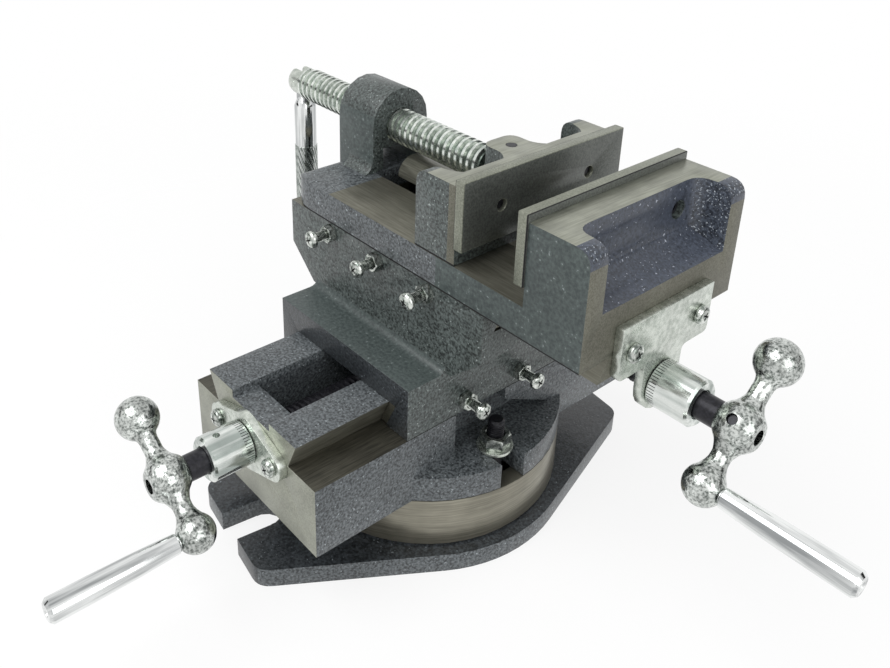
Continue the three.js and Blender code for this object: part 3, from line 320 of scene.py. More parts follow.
# Hammered enamel on rough grey iron: a blue-grey skin that pools into small lumps, so the eye
# sees a fine dark and light mottle with glinting tops.
HAMMERED_PAINT = Finish(
    "hammered_enamel_on_cast_iron", "#23272a", "#6b7174", 0.7, 0.0, (0.3, 0.5), 0.13,
    contrast=(0.36, 0.66), fleck="#9aa2a6", fleck_size=0.8, fleck_from=0.7, lump=0.2,
    lump_size=2.6, coat=0.15,
)
# The same enamel where hands and oil have dulled it: greener and a step darker. On the movable
# jaw's front face below its plate it stands in as painted shade.
WORN_AND_SHADE_PAINT = replace(
    HAMMERED_PAINT, name="worn_enamel_and_painted_shade", dark="#1d2221", light="#616a68",
    fleck="#97a09e", coat=0.1,
)
# The same enamel darkened nearly to black as painted shade, where the slides shade it. It is
# on the foot's top, in the foot's slots and on the saddle's lower front.
SHADE_ENAMEL = replace(
    HAMMERED_PAINT, name="enamel_as_painted_shade", dark="#111417", light="#43484c",
    fleck="#7c8388", fleck_from=0.72,
)
# The enamel in the fixed jaw's recess, which no hand reaches: smooth and clearly blue.
RECESS_PAINT = replace(
    HAMMERED_PAINT, name="blue_enamel_in_a_recess", dark="#262b34", light="#4e5563",
    contrast=(0.3, 0.7), relief=0.06, fleck="#aab0bc", fleck_from=0.7, lump=0.12,
)
# The same enamel over the rough corners beside the recess: dark, with many white flecks as painted
# glints.
GLINTING_PAINT = replace(
    HAMMERED_PAINT, name="enamel_on_a_rough_corner", dark="#1d2129", light="#4b525e",
    fleck="#a4abb3", fleck_size=0.5, fleck_from=0.64, lump=0.3,
)
# The same enamel sprayed thinner on a smoother face: greener, flatter, with few specks.
SMOOTH_PAINT = Finish(
    "thin_enamel_on_cast_iron", "#313a3a", "#4f5957", 0.9, 0.0, (0.4, 0.55), 0.08,
    contrast=(0.35, 0.68), fleck="#7f8788", fleck_size=0.9, fleck_from=0.72, lump=0.1,
    lump_size=3.0, coat=0.08,
)
# Painted shade in a joint or a recess: a thin black line where two castings meet.
JOINT_SHADE = Finish(
    "painted_shade_in_a_joint", "#070708", "#101012", 1.0, 0.0, (0.7, 0.9), 0.0, patch_dark=0.9,
)
# Milled grey iron under old oil: brown and dull, with faint lines along the cutter's way.
MILLED_IRON = Finish(
    "milled_cast_iron", "#646358", "#7e7d72", 0.45, 0.75, (0.38, 0.55), 0.02,
    patch=14.0, patch_dark=0.8,
)
MILLED_IRON_ALONG_X = replace(MILLED_IRON, name="milled_cast_iron_along_x", lay=Lay.ALONG_X)
MILLED_IRON_ALONG_Y = replace(MILLED_IRON, name="milled_cast_iron_along_y", lay=Lay.ALONG_Y)
# The same iron where way oil stands on it: dark brown, with paler streaks where it was wiped, and
# darker still as painted shade.
OILED_AND_SHADED_IRON = replace(
    MILLED_IRON_ALONG_Y, name="oiled_iron_with_painted_shade", dark="#3f3e37", light="#5b594f", patch_dark=0.75,
)
# The same iron turned in a lathe: fine level rings round the drum.
TURNED_IRON = replace(
    MILLED_IRON, name="turned_cast_iron", dark="#7a776b", light="#9b988a", lay=Lay.ROUND_Z,
    relief=0.03, contrast=(0.3, 0.7), gloss=(0.26, 0.36),
)
# The tail is turned and left bare, grey-green with a dull gloss.
TAIL_IRON = replace(
    MILLED_IRON_ALONG_X, name="turned_iron_tail", dark="#5f5f55", light="#88887c"
)
# Freshly ground iron: pale, greenish grey, with a satin sheen.
GROUND_IRON = Finish(
    "ground_cast_iron", "#8c8e83", "#a4a699", 0.5, 0.8, (0.32, 0.46), 0.012,
    lay=Lay.ALONG_Y, patch=9.0, patch_dark=0.82,
)
# Hardened steel, ground and darkened: nearly black, smooth, slightly brown.
HARD_PLATE = Finish(
    "ground_hardened_steel", "#565955", "#70746f", 0.5, 0.5, (0.3, 0.4), 0.006,
    patch=22.0, patch_dark=0.8,
)
# Bare ground edge of the same steel, brighter where the dark skin is cut through.
BARE_EDGE = Finish(
    "ground_steel_edge", "#74776b", "#94978a", 0.5, 0.6, (0.32, 0.45), 0.01, patch=12.0,
)
# Zinc plate with a thin chromate: silver with a green tinge and a soft cloudy gloss.
ZINC = Finish(
    "zinc_plated_steel", "#b5bcb3", "#dbe0d8", 1.6, 0.92, (0.2, 0.34), 0.02,
    patch=7.0, patch_dark=0.84,
)
# Zinc on a screw's head or nut: painted glints beside painted dark patches on each small form.
BRIGHT_ZINC = replace(
    ZINC, name="zinc_plated_fastener", dark="#7c857e", light="#e6eae4", grain=1.1,
    gloss=(0.1, 0.2), contrast=(0.38, 0.6), patch=3.0, patch_dark=0.6,
)
# Zinc on a turned dial: light and dark bands painted lengthwise as reflections, as smooth as a
# mirror almost.
ZINC_DIAL_X = replace(
    ZINC, name="zinc_plated_turned_steel_x", dark="#a6afaa", light="#eaeeea", grain=2.4,
    gloss=(0.12, 0.2), lay=Lay.ALONG_X, contrast=(0.38, 0.6),
)
ZINC_DIAL_Y = replace(ZINC_DIAL_X, name="zinc_plated_turned_steel_y", lay=Lay.ALONG_Y)
# Zinc on the thread's crest, lighter as a painted highlight.
CREST_HIGHLIGHT_ZINC = replace(
    ZINC, name="zinc_with_painted_crest_highlight", dark="#b3bcb5", light="#eef2ec", gloss=(0.14, 0.24),
)
# The bottom of the thread, dark green-grey as painted shade.
THREAD_ROOT_SHADE = replace(
    ZINC, name="painted_shade_in_thread_bottom", dark="#4d5752", light="#8f9b94", metallic=0.8,
    gloss=(0.26, 0.4), grain=0.9,
)
# Chrome over an unpolished casting: bright, with the pits and lumps of the mould below it; its
# dark mottles are partly those pits and partly painted dark reflections.
CAST_CHROME = Finish(
    "chrome_on_rough_casting", "#626965", "#dde1dd", 0.7, 1.0, (0.12, 0.26), 0.12,
    contrast=(0.34, 0.58), patch=5.0, patch_dark=0.66, lump=0.32, lump_size=2.4,
)
# Chrome over polished steel: near a mirror, with light and dark bands along the piece painted as
# reflections.
POLISHED_CHROME_X = Finish(
    "chrome_on_polished_steel_x", "#9a9d9e", "#f0f2f1", 2.2, 1.0, (0.08, 0.16), 0.004,
    lay=Lay.ALONG_X, contrast=(0.36, 0.58), patch=12.0, patch_dark=0.9,
)
POLISHED_CHROME_Y = replace(
    POLISHED_CHROME_X, name="chrome_on_polished_steel_y", lay=Lay.ALONG_Y
)
POLISHED_CHROME_Z = replace(
    POLISHED_CHROME_X, name="chrome_on_polished_steel_z", lay=Lay.ALONG_Z
)
# Chrome where a knurl breaks it up and oil has dulled it: a darker, greenish silver.
DULL_CHROME = replace(
    POLISHED_CHROME_X, name="chrome_on_knurled_steel", dark="#7d8480", light="#b4bab5",
    lay=Lay.NONE, gloss=(0.2, 0.34),
)
# Black oxide on steel: a thin dark skin with an oily, middling gloss.
BLACK_OXIDE = Finish(
    "black_oxide_steel", "#17171b", "#2b2b31", 0.8, 0.5, (0.28, 0.45), 0.02, patch=8.0,
)

# Chooses the finish of a face from its centre, in millimetres, and its normal.
FaceRule = Callable[[Vector, Vector], Finish]

# Modelling helpers

# Points of a CAD solid closer than this are one, and faces within this angle are one flat face.
WELD_REACH = 0.002
FLAT_ANGLE = 0.6


def choose(*objects: bpy.types.Object) -> None:
    """Selects only these objects and makes the first one active.

    Args:
        objects: Objects to select.
    """
    bpy.ops.object.select_all(action="DESELECT")
    for piece in objects:
        piece.select_set(True)
    bpy.context.view_layer.objects.active = objects[0]


@contextmanager
def editing(piece: bpy.types.Object, mode: str = "FACE", select: str = "SELECT") -> Iterator[None]:
    """Opens a piece in edit mode for the block.

    Args:
        piece: Piece to edit.
        mode: What is selected, VERT, EDGE or FACE.
        select: Selection on entry, SELECT, DESELECT or KEEP.

    Yields:
        Nothing.
    """
    choose(piece)
    bpy.ops.object.mode_set(mode="EDIT")
    bpy.ops.mesh.select_mode(type=mode)
    if select != "KEEP":
        bpy.ops.mesh.select_all(action=select)
    yield
    bpy.ops.object.mode_set(mode="OBJECT")


def pick_faces(piece: bpy.types.Object, wanted: Callable[[Vector, Vector], bool]) -> None:
    """Selects the faces whose centre and normal, in millimetres, are wanted.

    Args:
        piece: Piece in object mode.
        wanted: Says whether a face is picked.
    """
    mesh = piece.data
    for group in (mesh.vertices, mesh.edges, mesh.polygons):
        group.foreach_set("select", [False] * len(group))
    for face in mesh.polygons:
        face.select = wanted(face.center / MM, face.normal)


def name_new(name: str) -> bpy.types.Object:
    """Names the primitive that was just added, and its mesh.

    Args:
        name: Name of both.

    Returns:
        The primitive.
    """
    piece = bpy.context.active_object
    piece.name = piece.data.name = name
    return piece


def fix_place(piece: bpy.types.Object) -> bpy.types.Object:
    """Writes a piece's place, turn and size into its mesh.

    Args:
        piece: Piece to fix.

    Returns:
        The same piece.
    """
    choose(piece)
    bpy.ops.object.transform_apply(location=True, rotation=True, scale=True)
    return piece


def turn(name: str, rings: Sequence[tuple[float, float]], sides: int = 48) -> bpy.types.Object:
    """Turns a closed piece about +Z.

    Args:
        name: Name of the piece.
        rings: Radius and height of each ring, from the first flat face to the last.
        sides: Sides of the circle.

    Returns:
        The piece.
    """
    bpy.ops.object.select_all(action="DESELECT")
    radius, height = rings[0]
    bpy.ops.mesh.primitive_circle_add(
        vertices=sides, radius=radius * MM, fill_type="NGON", location=(0, 0, height * MM)
    )
    piece = fix_place(name_new(name))
    with editing(piece):
        for wide, high in rings[1:]:
            bpy.ops.mesh.extrude_region_move(
                TRANSFORM_OT_translate={"value": (0, 0, (high - height) * MM)}
            )
            bpy.ops.transform.resize(
                value=(wide / radius, wide / radius, 1), center_override=(0, 0, high * MM)
            )
            radius, height = wide, high
        bpy.ops.mesh.select_all(action="SELECT")
        bpy.ops.mesh.normals_make_consistent(inside=False)
    return piece


def slab(name: str, low: Point, high: Point) -> bpy.types.Object:
    """Makes a block between two corners, for cutting or as a start.

    Args:
        name: Name of the piece.
        low: Lowest corner.
        high: Highest corner.

    Returns:
        The block.
    """
    bpy.ops.object.select_all(action="DESELECT")
    centre = (Vector(low) + Vector(high)) / 2 * MM
    bpy.ops.mesh.primitive_cube_add(size=1, location=centre)
    piece = name_new(name)
    piece.scale = (Vector(high) - Vector(low)) * MM
    return fix_place(piece)


def ball(name: str, radius: float, at: Point, sides: int = 40) -> bpy.types.Object:
    """Makes a ball round a point, to be joined into a casting.

    Args:
        name: Name of the piece.
        radius: Radius of the ball.
        at: Its centre.
        sides: Sides round it.

    Returns:
        The ball.
    """
    bpy.ops.object.select_all(action="DESELECT")
    bpy.ops.mesh.primitive_uv_sphere_add(
        segments=sides, ring_count=sides // 2, radius=radius * MM, location=Vector(at) * MM
    )
    return fix_place(name_new(name))


def place(
    piece: bpy.types.Object, direction: Vector, at: Vector, spin: float = 0.0
) -> bpy.types.Object:
    """Turns a piece's own +Z to a direction and moves it into place, in its mesh.

    Args:
        piece: Piece round the origin.
        direction: Where its +Z points.
        at: Place of its origin.
        spin: Turn about its own +Z first, in degrees.

    Returns:
        The same piece.
    """
    turned = UP.rotation_difference(direction).to_matrix().to_4x4()
    piece.matrix_world = (
        Matrix.Translation(at * MM) @ turned @ Matrix.Rotation(math.radians(spin), 4, "Z")
    )
    return fix_place(piece)


def apply_modifiers(piece: bpy.types.Object) -> None:
    """Applies each modifier of a piece, in order.

    Args:
        piece: Piece with modifiers.
    """
    choose(piece)
    for name in [modifier.name for modifier in piece.modifiers]:
        bpy.ops.object.modifier_apply(modifier=name)


def cut(piece: bpy.types.Object, tool: bpy.types.Object, keep: bool = False) -> None:
    """Cuts a tool's shape out of a piece, or keeps only what lies inside it.

    Args:
        piece: Piece to cut.
        tool: Cutting shape, removed afterwards.
        keep: True keeps the shared part instead.
    """
    modifier = piece.modifiers.new("cut", "BOOLEAN")
    modifier.operation = "INTERSECT" if keep else "DIFFERENCE"
    modifier.solver = "EXACT"
    modifier.object = tool
    apply_modifiers(piece)
    bpy.data.objects.remove(tool)


def soften(
    piece: bpy.types.Object, width: float, segments: int = 2, angle: float = 32, edge: int = -1
) -> None:
    """Rounds the sharp edges of a piece.

    Args:
        piece: Piece to round.
        width: Width of the rounding.
        segments: Strips across it.
        angle: Edges sharper than this, in degrees, are rounded.
        edge: Material index of the rounding, or -1 for that of its neighbours.
    """
    modifier = piece.modifiers.new("soften", "BEVEL")
    modifier.width = width * MM
    modifier.segments = segments
    modifier.limit_method = "ANGLE"
    modifier.angle_limit = math.radians(angle)
    modifier.miter_outer = "MITER_ARC"
    modifier.harden_normals = False
    modifier.material = edge
    apply_modifiers(piece)


def smooth(piece: bpy.types.Object, angle: float = 32) -> None:
    """Shades a piece smooth up to an angle, in degrees."""
    choose(piece)
    bpy.ops.object.shade_smooth_by_angle(angle=math.radians(angle))


def twin(piece: bpy.types.Object, name: str) -> bpy.types.Object:
    """Copies a piece with a mesh of its own.

    Args:
        piece: Piece to copy.
        name: Name of the copy.

    Returns:
        The copy.
    """
    made = piece.copy()
    made.data = piece.data.copy()
    made.name = made.data.name = name
    bpy.context.scene.collection.objects.link(made)
    return made


def merged_copy(node: str, name: str) -> bpy.types.Object:
    """Copies a CAD node's surface as one connected skin of flat faces.

    Args:
        node: Name of the node.
        name: Name of the copy.

    Returns:
        The copy.
    """
    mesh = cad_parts[node].data.copy()
    piece = bpy.data.objects.new(name, mesh)
    mesh.name = name
    bpy.context.scene.collection.objects.link(piece)
    mesh.materials.clear()
    with editing(piece, "VERT"):
        bpy.ops.mesh.remove_doubles(threshold=WELD_REACH * MM)
        bpy.ops.mesh.customdata_custom_splitnormals_clear()
        bpy.ops.mesh.dissolve_limited(angle_limit=math.radians(FLAT_ANGLE))
    return piece


def score(piece: bpy.types.Object, axis: int, level: float) -> None:
    """Scores a piece's faces across an axis, so that a finish can end there.

    Args:
        piece: Piece to score.
        axis: Axis that the line runs across.
        level: Place of the line along that axis.
    """
    normal = ORIGIN.copy()
    normal[axis] = 1
    with editing(piece, "VERT"):
        bpy.ops.mesh.bisect(plane_co=normal * level * MM, plane_no=normal)


def colour_faces(
    piece: bpy.types.Object, finishes: Sequence[Finish], rule: FaceRule | None = None
) -> None:
    """Gives a piece its finishes, one for each face by the rule.

    Args:
        piece: Piece to dress.
        finishes: Finishes in order.
        rule: Chooses the finish of a face, or none for the first.
    """
    piece.data.materials.clear()
    for finish in finishes:
        piece.data.materials.append(finish.build())
    if rule:
        for face in piece.data.polygons:
            face.material_index = finishes.index(rule(face.center / MM, face.normal))


def hand_in(
    piece: bpy.types.Object, body: Body, slot: Slot, *nodes: str
) -> bpy.types.Object:
    """Lets a finished piece ride on its body and stand for its nodes.

    Args:
        piece: Finished piece.
        body: Body that carries it.
        slot: Not used.
        nodes: CAD nodes that it stands for.

    Returns:
        The same piece.
    """
    if nodes:
        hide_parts(*nodes)
    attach(piece, body.value)
    return piece


def finish_piece(
    piece: bpy.types.Object, finish: Finish, body: Body, slot: Slot, *nodes: str,
    angle: float = 32,
) -> None:
    """Smooths a piece, gives it one finish, hides its nodes and attaches it to its body.

    Args:
        piece: Piece in its place.
        finish: Its finish.
        body: Body that carries it.
        slot: Not used; passed on to hand_in.
        nodes: CAD nodes that it stands for.
        angle: Edges sharper than this, in degrees, stay sharp.
    """
    smooth(piece, angle)
    colour_faces(piece, [finish])
    hand_in(piece, body, slot, *nodes)


def dress_form(
    node: str, name: str, body: Body, slot: Slot, edge: float, finishes: Sequence[Finish],
    rule: FaceRule | None = None, segments: int = 2, scores: Sequence[tuple[int, float]] = (),
) -> bpy.types.Object:
    """Dresses a CAD node's own form: scored, coloured, its edges rounded, and attached to its body
    in place of the node.

    Args:
        node: Node that it copies and stands for.
        name: Name of the piece.
        body: Body that carries it.
        slot: Not used; passed on to hand_in.
        edge: Width of the rounded edges.
        finishes: Finishes in order.
        rule: Chooses the finish of a face, or none for the first.
        segments: Strips across the rounded edges.
        scores: Axis and place of each line where a finish ends.

    Returns:
        The piece.
    """
    piece = merged_copy(node, name)
    for axis, level in scores:
        score(piece, axis, level)
    colour_faces(piece, finishes, rule)
    soften(piece, edge, segments)
    smooth(piece)
    return hand_in(piece, body, slot, node)


def dress_nodes(finish: Finish, *nodes: str) -> None:
    """Gives CAD nodes that stay a finish of their own.

    Args:
        finish: The finish.
        nodes: Names of the nodes.
    """
    for node in nodes:
        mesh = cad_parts[node].data
        mesh.materials.clear()
        mesh.materials.append(finish.build())


def span_along(node: str, direction: Vector) -> tuple[Vector, Vector, float]:
    """Finds where the middle line of a CAD node's box starts and ends.

    Args:
        node: Name of the node.
        direction: One of the main directions.

    Returns:
        The line's start, its end and its length, in millimetres.
    """
    low, high = (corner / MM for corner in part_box(node))
    length = abs((high - low).dot(direction))
    centre, half = (low + high) / 2, direction * (length / 2)
    return centre - half, centre + half, length


def wind_thread(
    name: str, root: float, crest: float, pitch: float, turns: int, sides: int = 40,
    flank: float = 0.28,
) -> bpy.types.Object:
    """Winds a closed helical thread along +Z from zero.

    Args:
        name: Name of the piece.
        root: Radius at the bottom of the thread.
        crest: Radius at its top.
        pitch: Rise of one turn.
        turns: Number of turns.
        sides: Steps of one turn.
        flank: Share of the pitch that each sloping side takes.

    Returns:
        The threaded rod.
    """
    bpy.ops.object.select_all(action="DESELECT")
    bpy.ops.mesh.primitive_circle_add(vertices=3, radius=root * MM)
    piece = name_new(name)
    level = (1 - 2 * flank) / 4
    shape = [(level, 0.0), (flank, crest - root), (2 * level, 0.0), (flank, root - crest),
             (level, 0.0)]
    with editing(piece, "VERT"):
        bpy.ops.mesh.merge(type="CENTER")
        bpy.ops.transform.translate(value=(root * MM, 0, 0))
        for rise, out in shape:
            bpy.ops.mesh.extrude_region_move(
                TRANSFORM_OT_translate={"value": (out * MM, 0, rise * pitch * MM)}
            )
    screw = piece.modifiers.new("wind", "SCREW")
    screw.axis = "Z"
    screw.screw_offset = pitch * MM
    screw.iterations = turns
    screw.steps = screw.render_steps = sides
    apply_modifiers(piece)
    with editing(piece, "VERT"):
        bpy.ops.mesh.remove_doubles(threshold=WELD_REACH / 2 * MM)
        bpy.ops.mesh.select_all(action="DESELECT")
        bpy.ops.mesh.select_non_manifold()
        bpy.ops.mesh.fill_holes(sides=0)
        bpy.ops.mesh.select_all(action="SELECT")
        bpy.ops.mesh.normals_make_consistent(inside=False)
    return piece


def faces(normal: Vector, axis: int, sign: int = 0, share: float = FLAT) -> bool:
    """True if a normal has more than a share along an axis, either way or by its sign."""
    part = normal[axis] * sign if sign else abs(normal[axis])
    return part > share


# Sub-assemblies


@dataclass
class SwivelBase:
    """Foot with two bolt slots and the bare drum that the vise swivels on."""

    paint_line: float = 10.6
    slot_reach: float = 14.0
    edge: float = 1.2

    def build(self) -> None:
        """Builds and dresses the base casting."""
        piece = merged_copy("base", "base_casting")
        soften(piece, self.edge, 3)
        smooth(piece)
        colour_faces(piece, [HAMMERED_PAINT, TURNED_IRON, SHADE_ENAMEL], self._finish_of)
        hand_in(piece, Body.BASE, Slot.PAINT, "base")
        log.info("base casting: %d faces", len(piece.data.polygons))

    def _finish_of(self, centre: Vector, normal: Vector) -> Finish:
        """Bare above the paint line, painted shade on the foot's top and in its slots, else
        enamel.

        Args:
            centre: Centre of the face.
            normal: Normal of the face.

        Returns:
            The face's finish.
        """
        if centre.z > self.paint_line:
            return TURNED_IRON
        # The foot's top and its slots take the near-black enamel as painted shade.
        in_painted_shade = faces(normal, Z, 1) or abs(centre.x) < self.slot_reach
        return SHADE_ENAMEL if in_painted_shade else HAMMERED_PAINT


@dataclass
class LowerSlide:
    """Lower slide with its bare ways, bearing plate and the two swivel clamps."""

    end: float = 102.9
    ledge: float = 73.5
    rail_top: float = 87.3
    way_start: float = 28.0
    edge: float = 0.9
    plate_edge: float = 0.7
    washer_edge: float = 0.35
    stud_root: float = 3.4
    stud_crest: float = 4.0
    stud_pitch: float = 1.25
    stud_start: float = 49.6
    stud_plain_end: float = 1.0
    stud_chamfer: float = 0.8
    trim_half: float = 9.0
    trim_top: float = 99.0
    nut_flats: float = 13.0
    nut_height: float = 6.5
    nut_chamfer: float = 1.1
    nut_play: float = 0.2
    left_nut_spin: float = 40.0
    right_nut_spin: float = 12.0

    def build(self) -> None:
        """Builds the casting, its plate and its clamps."""
        dress_form(
            "lower_slide", "lower_slide_casting", Body.LOWER_SLIDE, Slot.PAINT, self.edge,
            [HAMMERED_PAINT, GROUND_IRON, MILLED_IRON_ALONG_Y, OILED_AND_SHADED_IRON], self._finish_of,
        )
        dress_form("lower_bearing_plate", "lower_bearing_lozenge", Body.LOWER_SLIDE, Slot.ZINC,
                   self.plate_edge, [ZINC], segments=3)
        self._clamps()
        log.info("lower slide, bearing plate and two clamps")

    def _finish_of(self, centre: Vector, normal: Vector) -> Finish:
        """Ground end faces, oiled ledges darkened as painted shade, milled flanks of the rails,
        else enamel.

        Args:
            centre: Centre of the face.
            normal: Normal of the face.

        Returns:
            The face's finish.
        """
        if abs(centre.y) > self.end and faces(normal, Y):
            return GROUND_IRON
        outer = abs(centre.x) > self.way_start
        # The ledges are oiled iron made darker as painted shade.
        if outer and faces(normal, Z, 1) and abs(centre.z - self.ledge) < LEVEL_PLAY:
            return OILED_AND_SHADED_IRON
        flank = self.ledge < centre.z < self.rail_top and faces(normal, X, share=STEEP)
        return MILLED_IRON_ALONG_Y if outer and flank else HAMMERED_PAINT

    def _clamps(self) -> None:
        """Makes the nut, the washer and the bolt of each clamp."""
        nut = hex_nut("clamp_nut", self.nut_flats, self.nut_height,
                      self.stud_crest + self.nut_play, self.nut_chamfer)
        for side, spin in (("left", self.left_nut_spin), ("right", self.right_nut_spin)):
            seat, _, _ = span_along(f"clamp_nut_{side}", UP)
            piece = place(twin(nut, f"clamp_hex_nut_{side}"), UP, seat, spin)
            colour_faces(piece, [BRIGHT_ZINC])
            hand_in(piece, Body.LOWER_SLIDE, Slot.ZINC, f"clamp_nut_{side}")
            dress_form(f"clamp_washer_{side}", f"clamp_thick_washer_{side}", Body.LOWER_SLIDE,
                       Slot.ZINC, self.washer_edge, [ZINC])
            self._stud(side, seat.x, seat.y)
        bpy.data.objects.remove(nut)

    def _stud(self, side: str, axis_x: float, axis_y: float) -> None:
        """Makes one T-headed bolt with a threaded upper end.

        Args:
            side: Which clamp.
            axis_x: Place of the clamp's axis along X.
            axis_y: Place of the clamp's axis along Y.
        """
        start, root, crest = self.stud_start, self.stud_root, self.stud_crest
        top = span_along(f"clamp_bolt_{side}", UP)[1].z
        bolt = merged_copy(f"clamp_bolt_{side}", f"clamp_tee_bolt_{side}")
        cut(bolt, slab("trim", (axis_x - self.trim_half, axis_y - self.trim_half, start),
                       (axis_x + self.trim_half, axis_y + self.trim_half, self.trim_top)))
        colour_faces(bolt, [BLACK_OXIDE])
        hand_in(bolt, Body.LOWER_SLIDE, Slot.BLACK, f"clamp_bolt_{side}")
        turns = int((top - start - self.stud_plain_end) / self.stud_pitch)
        thread = wind_thread(f"clamp_stud_thread_{side}", root, crest, self.stud_pitch, turns, 28)
        place(thread, UP, Vector((axis_x, axis_y, start - 0.1)))
        finish_piece(thread, BLACK_OXIDE, Body.LOWER_SLIDE, Slot.BLACK, angle=40)
        tip_start = start + turns * self.stud_pitch - 0.2
        tip = turn(f"clamp_stud_tip_{side}", [
            (root, tip_start - 0.6), (crest - 0.1, tip_start),
            (crest - 0.1, top - self.stud_chamfer), (root - 0.3, top),
        ], 28)
        place(tip, UP, Vector((axis_x, axis_y, 0)))
        finish_piece(tip, BLACK_OXIDE, Body.LOWER_SLIDE, Slot.BLACK)


def hex_nut(
    name: str, flats: float, height: float, bore: float, chamfer: float
) -> bpy.types.Object:
    """Makes a hexagon nut along +Z with chamfered corners and a countersunk bore.

    Args:
        name: Name of the nut.
        flats: Width across the flats.
        height: Height of the nut.
        bore: Radius of the bore.
        chamfer: How far the corners are cut back.

    Returns:
        The nut.
    """
    corner = flats / 2 / math.cos(math.pi / 6)
    nut = turn(name, [(corner, 0), (corner, height)], 6)
    drop, proud = chamfer * 0.6, 0.02
    barrel = turn("barrel", [
        (corner - chamfer, 0), (corner + proud, drop), (corner + proud, height - drop),
        (corner - chamfer, height),
    ])
    cut(nut, barrel, keep=True)
    sink, past = bore * 0.14, 0.5
    cut(nut, turn("bore", [
        (bore + sink + past, -past), (bore, sink), (bore, height - sink),
        (bore + sink + past, height + past),
    ], 32))
    smooth(nut, 30)
    return nut


@dataclass
class CrossScrew:
    """Pan head screw with a cross recess, along +Z with its seat at zero.

    The dome's rings are shares of the head's radius and height, from its side to its top.
    """

    head_radius: float = 4.2
    head_height: float = 3.2
    shank_radius: float = 2.3
    seat_chamfer: float = 0.3
    dome: tuple[tuple[float, float], ...] = (
        (1.0, 0.42), (0.95, 0.62), (0.83, 0.8), (0.62, 0.93), (0.35, 0.99), (0.1, 1.0),
    )
    recess_reach: float = 2.4
    recess_width: float = 0.95
    recess_depth: float = 1.7
    recess_taper: float = 0.45

    def build(self, name: str, grip: float) -> bpy.types.Object:
        """Makes the head and a plain shank below it.

        Args:
            name: Name of the screw.
            grip: Length of the shank.

        Returns:
            The screw.
        """
        wide, high = self.head_radius, self.head_height
        screw = turn(name, [
            (self.shank_radius, -grip), (self.shank_radius, 0), (wide - self.seat_chamfer, 0),
            (wide, 0.35), *((wide * out, high * rise) for out, rise in self.dome),
        ], 32)
        long, narrow = self.recess_reach, self.recess_width / 2
        for half_x, half_y in ((narrow, long), (long, narrow)):
            tool = slab("recess", (-half_x, -half_y, high - self.recess_depth),
                        (half_x, half_y, high + 1))
            pick_faces(tool, lambda centre, normal: faces(normal, Z, -1))
            with editing(tool, select="KEEP"):
                bpy.ops.transform.resize(
                    value=(self.recess_taper, self.recess_taper, 1), center_override=(0, 0, 0)
                )
            cut(screw, tool)
        colour_faces(screw, [BRIGHT_ZINC, JOINT_SHADE], self._finish_of)
        smooth(screw, 38)
        return screw

    def _finish_of(self, centre: Vector, normal: Vector) -> Finish:
        """Painted shade inside the recess, zinc all round it.

        Args:
            centre: Centre of the face.
            normal: Normal of the face.

        Returns:
            The face's finish.
        """
        floor, mouth = self.head_height - self.recess_depth - 0.1, self.head_height * 0.9
        inside = math.hypot(centre.x, centre.y) < self.recess_reach
        # The inside of the recess takes the near-black finish as painted shade.
        return JOINT_SHADE if inside and floor < centre.z < mouth else BRIGHT_ZINC


